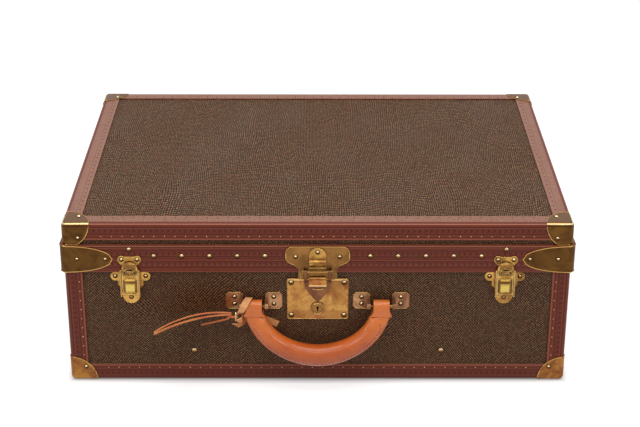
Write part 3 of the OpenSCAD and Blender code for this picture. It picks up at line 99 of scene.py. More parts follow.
def rgb(r, g, b):
    return (lin(r), lin(g), lin(b), 1.0)


def linear(*colours):
    """Colours in steps from 0 to 255 as linear ones."""
    return [rgb(*c) for c in colours]


class Tree:
    """A node material that is built by short calls."""

    def __init__(self, name):
        self.mat = bpy.data.materials.new(name)
        self.mat.use_nodes = True
        self.nt = self.mat.node_tree
        self.nt.nodes.clear()
        self.out = self.nt.nodes.new("ShaderNodeOutputMaterial")
        self.bsdf = self.nt.nodes.new("ShaderNodeBsdfPrincipled")
        self.nt.links.new(self.bsdf.outputs[0], self.out.inputs[0])
        self._obj = None
        self._uv = None

    def put(self, socket, value):
        """Set a socket, or link it where the value is another node's output."""
        if hasattr(value, "is_output") or hasattr(value, "links"):
            self.nt.links.new(value, socket)
        else:
            socket.default_value = value

    def add(self, kind, inputs, out=0, **props):
        """One of the outputs of a new node."""
        n = self.nt.nodes.new(kind)
        for k, v in props.items():
            setattr(n, k, v)
        for k, v in inputs.items():
            self.put(n.inputs[k], v)
        return n.outputs[out]

    def obj(self):
        if self._obj is None:
            self._obj = self.nt.nodes.new("ShaderNodeTexCoord").outputs["Object"]
        return self._obj

    def uv(self):
        if self._uv is None:
            n = self.nt.nodes.new("ShaderNodeUVMap")
            n.uv_map = "UVMap"
            self._uv = n.outputs[0]
        return self._uv

    def math(self, op, a, b=0.0, clamp=False):
        return self.add("ShaderNodeMath", {0: a, 1: b}, operation=op, use_clamp=clamp)

    def vmath(self, op, a, b=None, scale=None):
        n = self.nt.nodes.new("ShaderNodeVectorMath")
        n.operation = op
        self.put(n.inputs[0], a)
        if b is not None:
            self.put(n.inputs[1], b)
        if scale is not None:
            self.put(n.inputs[3], scale)
        return n.outputs[0]

    def ramp(self, fac, stops):
        """Greys between stops, each given as place and value."""
        n = self.nt.nodes.new("ShaderNodeValToRGB")
        els = n.color_ramp.elements
        while len(els) > 1:
            els.remove(els[-1])
        for i, (pos, value) in enumerate(stops):
            e = els[0] if i == 0 else els.new(pos)
            e.position = pos
            e.color = (value, value, value, 1.0)
        self.put(n.inputs[0], fac)
        return n.outputs[0]

    def mix(self, fac, a, b):
        return self.add("ShaderNodeMix", {0: fac, 6: a, 7: b}, out=2, data_type="RGBA")

    def noise(self, coord, scale, detail=3.0, rough=0.5, distortion=0.0, colour=False, dims="3D"):
        inputs = {"Vector": coord, "Scale": scale, "Detail": detail, "Roughness": rough,
                  "Distortion": distortion}
        return self.add("ShaderNodeTexNoise", inputs, out=1 if colour else 0, noise_dimensions=dims)

    def voronoi(self, coord, scale, random=1.0, feature="F1", out="Distance", dims="3D"):
        return self.add("ShaderNodeTexVoronoi", {"Vector": coord, "Scale": scale, "Randomness": random},
                        out=out, voronoi_dimensions=dims, feature=feature)

    def span(self, value, a, b, c=0.0, d=1.0):
        """A value from a to b stretched to run from c to d, and held there beyond them."""
        n = self.nt.nodes.new("ShaderNodeMapRange")
        n.clamp = True
        self.put(n.inputs[0], value)
        for i, v in enumerate((a, b, c, d)):
            n.inputs[i + 1].default_value = v
        return n.outputs[0]

    def bump(self, height, distance, strength):
        n = self.nt.nodes.new("ShaderNodeBump")
        n.inputs["Strength"].default_value = strength
        n.inputs["Distance"].default_value = distance
        self.put(n.inputs["Height"], height)
        return n.outputs[0]

    def split(self, vector):
        n = self.nt.nodes.new("ShaderNodeSeparateXYZ")
        self.put(n.inputs[0], vector)
        return n.outputs[0], n.outputs[1], n.outputs[2]

    def normal(self):
        """The surface's own direction, which stays with the piece when it moves."""
        return self.split(self.nt.nodes.new("ShaderNodeTexCoord").outputs["Normal"])

    def times(self, *factors):
        """The product of all that is given."""
        out = factors[0]
        for f in factors[1:]:
            out = self.math("MULTIPLY", out, f)
        return out

    def window(self, value, a, b, soft):
        """1 between a and b, falling to 0 over a soft width on each side."""
        rise = self.span(value, a - soft, a + soft)
        return self.times(rise, self.span(value, b - soft, b + soft, 1.0, 0.0))

    def edges(self, radius, low, high):
        """1 along convex and concave edges, 0 on flat faces."""
        bevel = self.nt.nodes.new("ShaderNodeBevel")
        bevel.samples = 4
        bevel.inputs["Radius"].default_value = radius
        geo = self.nt.nodes.new("ShaderNodeNewGeometry")
        n = self.nt.nodes.new("ShaderNodeVectorMath")
        n.operation = "DOT_PRODUCT"
        self.put(n.inputs[0], bevel.outputs[0])
        self.put(n.inputs[1], geo.outputs["Normal"])
        bent = self.math("SUBTRACT", 1.0, n.outputs["Value"], clamp=True)
        return self.span(self.math("SQRT", bent), low, high)

    def crevice(self, distance):
        """1 in corners and under heads, 0 in the open."""
        ao = self.nt.nodes.new("ShaderNodeAmbientOcclusion")
        ao.samples = 4
        ao.inputs["Distance"].default_value = distance
        return self.math("SUBTRACT", 1.0, ao.outputs["AO"], clamp=True)

    def finish(self, colour, rough, normal, metallic=0.0, specular=0.5, **sockets):
        b = self.bsdf.inputs
        self.put(b["Base Color"], colour)
        self.put(b["Roughness"], rough)
        self.put(b["Normal"], normal)
        b["Metallic"].default_value = metallic
        b["Specular IOR Level"].default_value = specular
        for k, v in sockets.items():
            b[k.replace("_", " ")].default_value = v
        return self.mat


# Beads of the canvas on a metre
BEADS = 440.0


def canvas_material():
    """Coated canvas: rows of fine raised beads that swirl like a thumbprint."""
    t = Tree("coated_canvas")
    uv = t.uv()
    drift = t.noise(uv, 9.0, 1.0, 0.4, colour=True, dims="2D")
    drift = t.vmath("SCALE", t.vmath("SUBTRACT", drift, (0.5, 0.5, 0.5)), scale=0.022)
    small = t.noise(uv, 34.0, 1.0, 0.4, colour=True, dims="2D")
    small = t.vmath("SCALE", t.vmath("SUBTRACT", small, (0.5, 0.5, 0.5)), scale=0.0042)
    at = t.vmath("ADD", uv, t.vmath("ADD", drift, small))
    at = t.add("ShaderNodeVectorRotate", {"Vector": at, "Angle": math.radians(45)}, rotation_type="Z_AXIS")
    bead = t.voronoi(at, BEADS, 0.22, dims="2D")
    hue = t.voronoi(at, BEADS, 0.22, out="Color", dims="2D")
    pick, pick2, _ = t.split(hue)
    cloud = t.noise(uv, 14.0, 4.0, 0.55, dims="2D")
    fine = t.noise(uv, 1500.0, 2.0, 0.6, dims="2D")
    ground = t.mix(cloud, rgb(30, 15, 9), rgb(42, 22, 14))
    gold = t.mix(pick, rgb(118, 82, 48), rgb(172, 130, 82))
    gold = t.mix(t.span(pick2, 0.74, 0.95), gold, rgb(158, 92, 60))
    top = t.span(bead, 0.42, 0.16)
    colour = t.mix(top, ground, gold)
    colour = t.mix(t.span(fine, 0.3, 0.75, 0.0, 0.18), colour, rgb(40, 22, 14))
    height = t.math("ADD", t.span(bead, 0.62, 0.05), t.times(fine, 0.2))
    rough = t.span(cloud, 0.3, 0.7, 0.50, 0.64)
    return t.finish(colour, rough, t.bump(height, 0.0003, 0.8), specular=0.2)


# Spacing of the pressed chevrons along a strip, in millimetres
CHEVRON_PITCH = 6.7


def fibre_material(name, width, lines, lights, rows, flat):
    """Vulcanised fibre with pressed lines, lighter lines that are painted highlights along its edges and
    ridges, rows of small pressed chevrons and a painted sheen on faces that look up.

    The UV's u runs along the strip and v across it, in metres from its outer edge."""
    t = Tree(name)
    u, v, _ = t.split(t.uv())
    across = t.math("DIVIDE", v, width * MM)

    def stripes(items):
        stops = [(0.0, 0.0)]
        for pos, half, deep in items:
            stops += [((pos - half) / width, 0.0), (pos / width, deep), ((pos + half) / width, 0.0)]
        return t.ramp(across, [p for p in stops if 0 <= p[0] <= 1] + [(1.0, 0.0)])

    groove = stripes(lines)
    bright = stripes(lights)
    pressed = None
    for row, tall in rows:
        off = t.math("ABSOLUTE", t.math("SUBTRACT", v, row * MM))
        inside = t.span(off, tall * MM * 0.5, tall * MM * 0.38)
        slant = t.math("ADD", u, t.times(off, 0.9))
        phase = t.math("FRACT", t.math("DIVIDE", slant, CHEVRON_PITCH * MM))
        near = t.math("ABSOLUTE", t.math("SUBTRACT", phase, 0.5))
        mark = t.times(t.span(near, 0.19, 0.08), inside)
        pressed = mark if pressed is None else t.math("MAXIMUM", pressed, mark)
    obj = t.obj()
    cloud = t.noise(obj, 9.0, 4.0, 0.55)
    streak = t.noise(t.vmath("MULTIPLY", t.uv(), (22.0, 900.0, 1.0)), 1.0, 3.0, 0.6, dims="2D")
    grain = t.noise(obj, 1400.0, 2.0, 0.5)
    colour = t.mix(cloud, rgb(100, 38, 20), rgb(124, 52, 30))
    colour = t.mix(t.span(streak, 0.35, 0.75, 0.0, 0.40), colour, rgb(88, 34, 24))
    # Painted highlights along the strip's edges and ridges
    colour = t.mix(bright, colour, rgb(196, 118, 90))
    colour = t.mix(groove, colour, rgb(46, 14, 10))
    height = t.math("SUBTRACT", 1.0, groove)
    colour = t.mix(t.times(pressed, 0.78), colour, rgb(50, 16, 13))
    height = t.math("SUBTRACT", height, t.times(pressed, 0.5))
    # Faces that look up get a painted sheen; the rounding has a dark band of painted shade and a painted
    # highlight
    _, _, nz = t.normal()
    hatch = t.noise(t.vmath("MULTIPLY", t.uv(), (700.0, 60.0, 1.0)), 1.0, 2.0, 0.5, dims="2D")
    top_sheen = t.mix(t.span(hatch, 0.4, 0.7, 0.0, 0.45), rgb(*flat), rgb(124, 76, 66))
    top_sheen = t.mix(t.times(groove, 0.6), top_sheen, rgb(84, 42, 38))
    colour = t.mix(t.span(nz, 0.985, 0.998), colour, top_sheen)
    colour = t.mix(t.window(nz, 0.88, 0.992, 0.01), colour, rgb(104, 40, 26))
    colour = t.mix(t.times(t.window(nz, 0.62, 0.78, 0.05), 0.55), colour, rgb(206, 140, 112))
    height = t.math("ADD", height, t.times(grain, 0.05))
    rough = t.span(cloud, 0.3, 0.7, 0.36, 0.50)
    return t.finish(colour, rough, t.bump(height, 0.0004, 0.8), specular=0.24)


def brass_material(name, main, alt, dark, rim, rough=0.34, patina=0.5, grime_and_shade=0.9, spots=0.0, rim_w=0.0007,
                   rim_amount=0.7, metallic=0.92, seed=0.0, faces=None, paint=None):
    """Old brass: clouds of patina, brown in the corners that is partly soiling and partly painted shade,
    bright edges that are partly bare and partly a painted highlight, fine scratches.
    """
    t = Tree(name)
    main, alt, dark, rim = linear(main, alt, dark, rim)
    obj = t.vmath("ADD", t.obj(), (seed, seed * 0.7, -seed))
    cloud = t.noise(obj, 55.0, 5.0, 0.6, 0.6)
    patch = t.noise(obj, 17.0, 3.0, 0.5, 0.3)
    fine = t.noise(obj, 900.0, 3.0, 0.6)
    scratch = t.noise(t.vmath("MULTIPLY", obj, (260.0, 260.0, 4200.0)), 1.0, 2.0, 0.5)
    colour = t.mix(t.span(cloud, 0.32, 0.68), main, alt)
    blotch = t.math("ADD", cloud, t.times(patch, 0.8))
    stain = t.times(t.span(blotch, 0.80, 1.12), patina)
    colour = t.mix(stain, colour, dark)
    if spots:
        pits = t.voronoi(obj, 420.0, 1.0)
        where = t.span(t.noise(obj, 70.0, 3.0, 0.6), 0.55, 0.66)
        colour = t.mix(t.times(t.span(pits, 0.32, 0.14), where, spots), colour, rgb(62, 36, 20))
    if paint:
        colour = paint(t, colour, cloud)
    # Brown in corners and under heads, from the ambient occlusion: partly soiling, partly painted shade
    dirt_and_shade = t.crevice(0.0026)
    colour = t.mix(t.times(t.span(dirt_and_shade, 0.2, 0.62), grime_and_shade), colour, rgb(40, 22, 10))
    if faces:
        # Painted light by the way each face looks: faces that look up are lighter, the upper part of their
        # rounding has a painted highlight and the part below it painted shade
        up, glint = linear(*faces)
        _, _, nz = t.normal()
        colour = t.mix(t.times(t.span(nz, 0.9, 0.98), 0.85), colour, up)
        colour = t.mix(t.times(t.window(nz, 0.62, 0.80, 0.05), 0.9), colour, glint)
        colour = t.mix(t.times(t.window(nz, 0.16, 0.42, 0.06), 0.5), colour, dark)
    # Bright edges: partly brass worn bare, partly a painted highlight
    edge = t.edges(rim_w, 0.12, 0.45)
    colour = t.mix(t.times(edge, rim_amount), colour, rim)
    r = t.math("ADD", t.span(cloud, 0.3, 0.7, rough - 0.06, rough + 0.10), t.times(stain, 0.14))
    height = t.math("ADD", t.times(fine, 0.5), t.times(scratch, 0.3))
    return t.finish(colour, r, t.bump(height, 0.00006, 0.5), metallic=metallic)


def rivet_material(name, light, mid, dark):
    """Polished head with painted light: a painted highlight above, painted shade in brown below, and a thin
    painted reflection along the lower edge.
    """
    t = Tree(name)
    light, mid, dark = linear(light, mid, dark)
    obj = t.obj()
    _, _, nz = t.normal()
    cloud = t.noise(obj, 600.0, 3.0, 0.6)
    # How far a face looks up where the painted shade turns brown, and brown turns to the painted highlight
    low, high = -0.05, 0.35
    lean = t.math("ADD", nz, t.span(cloud, 0.3, 0.7, -0.12, 0.12))
    colour = t.mix(t.span(lean, low, high), dark, mid)
    colour = t.mix(t.span(lean, high, high + 0.25), colour, light)
    # Painted reflection of the floor along the lower edge
    colour = t.mix(t.span(lean, -0.55, -0.75, 0.0, 0.5), colour, mid)
    # Dark ring at the head's foot, from the ambient occlusion: partly soiling, partly painted shade
    dirt_and_shade = t.crevice(0.0016)
    colour = t.mix(t.span(dirt_and_shade, 0.25, 0.7, 0.0, 0.9), colour, rgb(44, 24, 12))
    return t.finish(colour, t.span(cloud, 0.3, 0.7, 0.2, 0.32), t.bump(cloud, 0.00005, 0.4), metallic=0.85)


def leather_material(name, main, alt, dark, rough=0.33, coat=0.25, specular=0.5, paint=None):
    """Smooth vegetable-tanned leather with mottling, fine pores and darkened edges."""
    t = Tree(name)
    main, alt, dark = linear(main, alt, dark)
    obj = t.obj()
    cloud = t.noise(obj, 32.0, 4.0, 0.55, 0.4)
    blot = t.noise(obj, 110.0, 3.0, 0.6)
    pores = t.voronoi(obj, 1500.0, 1.0)
    wander = t.vmath("SCALE", t.noise(obj, 300.0, 2.0, 0.5, colour=True), scale=0.0012)
    crease = t.voronoi(t.vmath("ADD", obj, wander), 360.0, 1.0, feature="DISTANCE_TO_EDGE")
    colour = t.mix(t.span(cloud, 0.3, 0.7), main, alt)
    colour = t.mix(t.span(blot, 0.52, 0.78, 0.0, 0.45), colour, dark)
    if paint:
        colour = paint(t, colour)
    worn = t.edges(0.0009, 0.14, 0.6)
    colour = t.mix(t.times(worn, 0.35), colour, dark)
    # Darker in corners and under the ends, from the ambient occlusion: partly soiling, partly painted shade
    dirt_and_shade = t.crevice(0.0025)
    colour = t.mix(t.times(t.span(dirt_and_shade, 0.35, 0.85), 0.6), colour, rgb(70, 30, 14))
    height = t.math("ADD", t.times(pores, 0.5), t.times(t.span(crease, 0.0, 0.12), 0.4))
    r = t.span(cloud, 0.3, 0.7, rough - 0.05, rough + 0.08)
    return t.finish(colour, r, t.bump(height, 0.00012, 0.5), specular=specular, Coat_Weight=coat,
                    Coat_Roughness=0.14)


def wood_material():
    """Plywood edge and face: long fibres, thin plies and a few darker pores."""
    t = Tree("plywood")
    obj = t.obj()
    long = t.noise(t.vmath("MULTIPLY", obj, (9.0, 90.0, 700.0)), 1.0, 4.0, 0.6, 0.8)
    pores = t.noise(t.vmath("MULTIPLY", obj, (60.0, 1200.0, 2600.0)), 1.0, 2.0, 0.5)
    colour = t.mix(t.span(long, 0.3, 0.7), rgb(196, 158, 108), rgb(166, 124, 78))
    colour = t.mix(t.span(pores, 0.62, 0.75, 0.0, 0.5), colour, rgb(112, 76, 44))
    fibres = t.bump(t.math("ADD", long, pores), 0.0002, 0.3)
    return t.finish(colour, t.span(long, 0.3, 0.7, 0.5, 0.66), fibres, specular=0.35)


def lining_material():
    """Plain woven cotton lining."""
    t = Tree("lining_cloth")
    uv = t.uv()
    x, y, _ = t.split(t.vmath("SCALE", uv, scale=1500.0))
    wave_x, wave_y = (t.math("SINE", t.times(v, math.pi)) for v in (x, y))
    warp, weft = t.math("ABSOLUTE", wave_x), t.math("ABSOLUTE", wave_y)
    over = t.math("GREATER_THAN", t.times(wave_x, wave_y), 0.0)
    under = t.math("SUBTRACT", 1.0, over)
    weave = t.math("ADD", t.times(warp, over), t.times(weft, under))
    cloud = t.noise(uv, 12.0, 4.0, 0.6, dims="2D")
    colour = t.mix(t.span(cloud, 0.3, 0.72), rgb(186, 158, 116), rgb(164, 134, 94))
    colour = t.mix(t.times(t.math("SUBTRACT", 1.0, weave), 0.4), colour, rgb(116, 90, 58))
    return t.finish(colour, t.span(cloud, 0.3, 0.7, 0.82, 0.92), t.bump(weave, 0.00025, 0.5), specular=0.2,
                    Sheen_Weight=0.15)


def steel_material():
    """Plain steel with light rust bloom and brushing."""
    t = Tree("steel")
    obj = t.obj()
    cloud = t.noise(obj, 120.0, 4.0, 0.6)
    brush = t.noise(t.vmath("MULTIPLY", obj, (300.0, 5000.0, 5000.0)), 1.0, 2.0, 0.5)
    colour = t.mix(t.span(cloud, 0.3, 0.7), rgb(150, 148, 146), rgb(118, 114, 110))
    colour = t.mix(t.span(cloud, 0.62, 0.75, 0.0, 0.6), colour, rgb(110, 76, 50))
    return t.finish(colour, t.span(cloud, 0.3, 0.7, 0.32, 0.5), t.bump(brush, 0.00005, 0.4), metallic=0.9)


def thread_material(name, light, dark):
    """Waxed linen thread with its twist."""
    t = Tree(name)
    light, dark = linear(light, dark)
    obj = t.obj()
    twist = t.add("ShaderNodeTexWave", {"Vector": obj, "Scale": 420.0, "Distortion": 2.0, "Detail": 2.0},
                  out=1, wave_type="BANDS", bands_direction="DIAGONAL")
    cloud = t.noise(obj, 240.0, 3.0, 0.6)
    colour = t.mix(t.times(twist, 0.5), light, dark)
    colour = t.mix(t.span(cloud, 0.5, 0.8, 0.0, 0.4), colour, dark)
    return t.finish(colour, 0.55, t.bump(twist, 0.0001, 0.5), specular=0.4)


# Mesh helpers

def link(obj):
    bpy.context.scene.collection.objects.link(obj)
    return obj


def welded(node):
    """A CAD node's mesh with its doubled vertices joined."""
    bm = bmesh.new()
    bm.from_mesh(NODES[node].data)
    bmesh.ops.remove_doubles(bm, verts=bm.verts, dist=WELD)
    return bm


def new_mesh(name, verts, faces, mat, body, replaces=()):
    me = bpy.data.meshes.new(name)
    me.from_pydata([tuple(v) for v in verts], [], [tuple(f) for f in faces])
    me.validate()
    obj = link(bpy.data.objects.new(name, me))
    me.materials.append(mat)
    smooth_by(obj, 60)
    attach(obj, body)
    for n in replaces:
        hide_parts(n)
    return obj


def smooth_by(obj, degrees):
    """Smooth shading, apart from the edges that turn by more than some degrees."""
    bm = bmesh.new()
    bm.from_mesh(obj.data)
    bmesh.ops.recalc_face_normals(bm, faces=bm.faces)
    limit = math.radians(degrees)
    for f in bm.faces:
        f.smooth = True
    for e in bm.edges:
        e.smooth = len(e.link_faces) == 2 and e.calc_face_angle(0.0) < limit
    bm.to_mesh(obj.data)
    bm.free()


def dress(node, mat, bevel, name=None, segments=2, degrees=38.0, uv=None):
    """A copy of a CAD node with edges rounded by so many millimetres, which stands for the node."""
    me = NODES[node].data.copy()
    obj = link(bpy.data.objects.new(name or node + "_dressed", me))
    bm = welded(node)
    bmesh.ops.dissolve_limit(bm, angle_limit=math.radians(0.8), verts=bm.verts, edges=bm.edges)
    bm.to_mesh(me)
    bm.free()
    me.materials.clear()
    me.materials.append(mat)
    for p in me.polygons:
        p.material_index = 0
    if uv:
        uv(obj)
    smooth_by(obj, degrees)
    if bevel:
        mod = obj.modifiers.new("bevel", "BEVEL")
        mod.width = bevel * MM
        mod.segments = segments
        mod.limit_method = "ANGLE"
        mod.angle_limit = math.radians(degrees)
        mod.harden_normals = True
        mod.use_clamp_overlap = True
    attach(obj, BODY_OF[node])
    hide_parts(node)


def coat(node, mat):
    """A better material on a CAD node that stays."""
    obj = NODES[node]
    obj.data.materials.clear()
    obj.data.materials.append(mat)


def loops_uv(obj, fn):
    me = obj.data
    while me.uv_layers:
        me.uv_layers.remove(me.uv_layers[0])
    layer = me.uv_layers.new(name="UVMap")
    for poly in me.polygons:
        values = fn(poly, [me.vertices[i].co for i in poly.vertices])
        for li, value in zip(poly.loop_indices, values):
            layer.data[li].uv = value


def box_uv(obj):
    """Flat projection of each face along its main axis, in metres.

    What is added gives each side of the case a stretch of the pattern of its own."""
    def fn(poly, cos):
        n = poly.normal
        k = max(range(3), key=lambda i: abs(n[i]))
        if k == 2:
            return [(c.x + 3.0, c.y + 3.0) for c in cos]
        if k == 1:
            return [(c.x + 3.0 + (7.0 if n.y > 0 else 0.0), c.z + 3.0 - 0.22) for c in cos]
        return [(c.y + 3.0 + (11.0 if n.x > 0 else 15.0), c.z + 3.0 - 0.22) for c in cos]
    loops_uv(obj, fn)


def canvas_uv(obj):
    """As box_uv, with the rows of the faces that look up set along the case and drawn out."""
    box_uv(obj)
    me = obj.data
    layer = me.uv_layers[0]
    half = math.sqrt(0.5)
    for poly in me.polygons:
        if abs(poly.normal.z) > 0.7:
            for li in poly.loop_indices:
                x, y = layer.data[li].uv
                y *= 0.5
                layer.data[li].uv = ((x + y) * half, (y - x) * half)


def islands(me):
    """For each vertex of a mesh, the number of the connected form it belongs to."""
    parent = list(range(len(me.vertices)))

    def find(a):
        while parent[a] != a:
            parent[a] = parent[parent[a]]
            a = parent[a]
        return a

    for e in me.edges:
        a, b = find(e.vertices[0]), find(e.vertices[1])
        if a != b:
            parent[a] = b
    return [find(i) for i in range(len(me.vertices))]


def grow(boxes, key, co):
    """Widen the box of a group so that it holds a point."""
    lo, hi = boxes.setdefault(key, ([9.0] * 3, [-9.0] * 3))
    for k in range(3):
        lo[k] = min(lo[k], co[k])
        hi[k] = max(hi[k], co[k])


def solids_of(node):
    """The points of each solid in a CAD node."""
    bm = welded(node)
    me = bpy.data.meshes.new("tmp")
    bm.to_mesh(me)
    bm.free()
    members = {}
    for i, g in enumerate(islands(me)):
        members.setdefault(g, []).append(me.vertices[i].co.copy())
    bpy.data.meshes.remove(me)
    return members.values()


def axis(k, length=1.0):
    """A vector along x, y or z."""
    v = Vector((0, 0, 0))
    v[k] = length
    return v


def trim_uv(obj):
    """u along each strip, v across it from the case's outer edge."""
    me = obj.data
    group = islands(me)
    boxes = {}
    for i, g in enumerate(group):
        grow(boxes, g, me.vertices[i].co)

    def outer(co, k):
        if k == 2:
            return min(co.z - CASE_LOW, CASE_HIGH - co.z)
        return CASE_HALF[k] - abs(co[k])

    def fn(poly, cos):
        lo, hi = boxes[group[poly.vertices[0]]]
        size = [hi[k] - lo[k] for k in range(3)]
        along = max(range(3), key=lambda k: size[k])
        n = poly.normal
        others = [k for k in range(3) if k != along]
        face = max(others, key=lambda k: abs(n[k]))
        across = others[0] if others[1] == face else others[1]
        return [(c[along] + 2.0, outer(c, across)) for c in cos]
    loops_uv(obj, fn)


def band_uv(z_top):
    """u along the band, v down it from its top."""
    def make(obj):
        def fn(poly, cos):
            n = poly.normal
            if abs(n.z) > 0.7:
                return [(c.x + c.y + 2.0, 0.001) for c in cos]
            if abs(n.y) >= abs(n.x):
                return [(c.x + 2.0, z_top - c.z) for c in cos]
            return [(c.y + 2.0, z_top - c.z) for c in cos]
        loops_uv(obj, fn)
    return make


# Stage and light

# Half sizes of the case's footprint, close to which the floor's own light fades
FOOTPRINT = (0.297, 0.217)
FLOOR_RADIUS, FLOOR_SIDES = 9.0, 64
# The floor's own light as the camera sees it and as the pieces mirror it
FLOOR_SEEN, FLOOR_MIRRORED = 0.66, 0.5
# The world's light on the pieces, and what is added where they mirror it
WORLD_LIGHT, WORLD_MIRRORED = 0.40, 0.35


def make_stage():
    """White paper with a light of its own, so that it stays white in the picture."""
    t = Tree("floor_paper")
    t.nt.nodes.remove(t.bsdf)
    grain = t.noise(t.obj(), 60.0, 4.0, 0.6)
    paper = t.mix(grain, (0.60, 0.60, 0.60, 1), (0.64, 0.64, 0.64, 1))
    path = t.nt.nodes.new("ShaderNodeLightPath")
    x, y, _ = t.split(t.obj())
    past_x, past_y = (t.math("SUBTRACT", t.math("ABSOLUTE", v), h) for v, h in zip((x, y), FOOTPRINT))
    away = t.math("MAXIMUM", past_x, past_y)
    near = t.span(away, 0.0, 0.012, 0.25, 1.0)
    mirror = t.math("MAXIMUM", path.outputs["Is Glossy Ray"], path.outputs["Is Transmission Ray"])
    seen = t.times(path.outputs["Is Camera Ray"], near, FLOOR_SEEN)
    strength = t.math("MAXIMUM", seen, t.times(mirror, FLOOR_MIRRORED))
    diffuse = t.add("ShaderNodeBsdfDiffuse", {"Color": paper})
    glow = t.add("ShaderNodeEmission", {"Color": (1, 1, 1, 1), "Strength": strength})
    t.put(t.out.inputs[0], t.add("ShaderNodeAddShader", {0: diffuse, 1: glow}))
    n, r = FLOOR_SIDES, FLOOR_RADIUS
    turns = [2 * math.pi * i / n for i in range(n)]
    verts = [(0, 0, 0)] + [(r * math.cos(a), r * math.sin(a), 0) for a in turns]
    faces = [(0, 1 + i, 1 + (i + 1) % n) for i in range(n)]
    me = bpy.data.meshes.new("floor")
    me.from_pydata(verts, [], faces)
    me.materials.append(t.mat)
    floor = link(bpy.data.objects.new("floor", me))


def make_world():
    """White for the camera, light grey in what the pieces mirror, darker grey as light on them."""
    world = bpy.data.worlds.new("studio")
    bpy.context.scene.world = world
    world.use_nodes = True
    wt = world.node_tree
    wt.nodes.clear()
    out = wt.nodes.new("ShaderNodeOutputWorld")
    bg = wt.nodes.new("ShaderNodeBackground")
    path = wt.nodes.new("ShaderNodeLightPath")
    mirror = wt.nodes.new("ShaderNodeMath")
    mirror.operation = "MAXIMUM"
    wt.links.new(path.outputs["Is Glossy Ray"], mirror.inputs[0])
    wt.links.new(path.outputs["Is Transmission Ray"], mirror.inputs[1])
    grey = wt.nodes.new("ShaderNodeMath")
    grey.operation = "MULTIPLY_ADD"
    wt.links.new(mirror.outputs[0], grey.inputs[0])
    grey.inputs[1].default_value = WORLD_MIRRORED
    grey.inputs[2].default_value = WORLD_LIGHT
    strength = wt.nodes.new("ShaderNodeMix")
    strength.data_type = "FLOAT"
    wt.links.new(path.outputs["Is Camera Ray"], strength.inputs[0])
    wt.links.new(grey.outputs[0], strength.inputs[2])
    strength.inputs[3].default_value = 1.0
    wt.links.new(strength.outputs[0], bg.inputs["Strength"])
    bg.inputs["Color"].default_value = (1, 1, 1, 1)
    wt.links.new(bg.outputs[0], out.inputs[0])


def area(name, at, aim, power, width, height):
    """A rectangular lamp at one point that looks at another, in metres and watts."""
    light = bpy.data.lights.new(name, "AREA")
    light.shape = "RECTANGLE"
    light.size = width
    light.size_y = height
    light.energy = power
    obj = link(bpy.data.objects.new(name, light))
    obj.location = at
    obj.rotation_euler = (Vector(aim) - Vector(at)).to_track_quat("-Z", "Y").to_euler()


def make_lights():
    area("overhead", (0.0, -0.15, 2.5), (0, 0, 0.15), 30.0, 2.4, 1.6)
    area("left_box", (-1.7, -1.9, 1.9), (0, 0, 0.12), 9.0, 0.9, 1.1)
    area("right_box", (1.7, -1.9, 1.9), (0, 0, 0.12), 9.0, 0.9, 1.1)
    area("left_strip", (-1.9, -0.1, 0.6), (0, -0.24, 0.08), 7.0, 0.22, 1.1)
    area("right_strip", (1.9, -0.1, 0.6), (0, -0.24, 0.08), 7.0, 0.22, 1.1)
    area("front_strip", (0, -1.5, 2.1), (0, -0.22, 0.15), 6.0, 1.6, 0.12)


# Small brass

# Rings of a nail's domed head, as radius and height, and the height of its middle
NAIL_RINGS = ((0.84, 0.0), (0.86, 0.12), (0.68, 0.34), (0.36, 0.48))
NAIL_TOP = 0.52
NAIL_SIDES = 10


def nails(node, mat_side, mat_top, name):
    """Round-headed nails at the places of the CAD's flat ones, with a darker copy of their brass, which is
    painted shade, where they look up or down.
    """
    verts, faces, kinds = [], [], []
    for cos in solids_of(node):
        lo = [min(c[k] for c in cos) for k in range(3)]
        hi = [max(c[k] for c in cos) for k in range(3)]
        size = [hi[k] - lo[k] for k in range(3)]
        k = min(range(3), key=lambda i: size[i])
        base = Vector([(lo[i] + hi[i]) / 2 for i in range(3)])
        sign = 1.0 if base[k] > CASE_MID[k] else -1.0
        base[k] = lo[k] if sign > 0 else hi[k]
        n = axis(k, sign)
        a = axis((k + 1) % 3)
        b = n.cross(a)
        first = len(verts)
        for r, h in NAIL_RINGS:
            for i in range(NAIL_SIDES):
                turn = 2 * math.pi * i / NAIL_SIDES
                verts.append(base + (a * math.cos(turn) + b * math.sin(turn)) * r * MM + n * h * MM)
        verts.append(base + n * NAIL_TOP * MM)
        for j in range(len(NAIL_RINGS)):
            for i in range(NAIL_SIDES):
                c0 = first + j * NAIL_SIDES + i
                c1 = first + j * NAIL_SIDES + (i + 1) % NAIL_SIDES
                last = j == len(NAIL_RINGS) - 1
                above = (len(verts) - 1,) if last else (c1 + NAIL_SIDES, c0 + NAIL_SIDES)
                faces.append((c0, c1, *above))
                kinds.append(1 if k == 2 else 0)
    obj = new_mesh(name, verts, faces, mat_side, BODY_OF[node], replaces=(node,))
    # The second material is the darker copy, painted shade, for nails that look up or down
    obj.data.materials.append(mat_top)
    for p, kind in zip(obj.data.polygons, kinds):
        p.material_index = kind


# Beads and rims

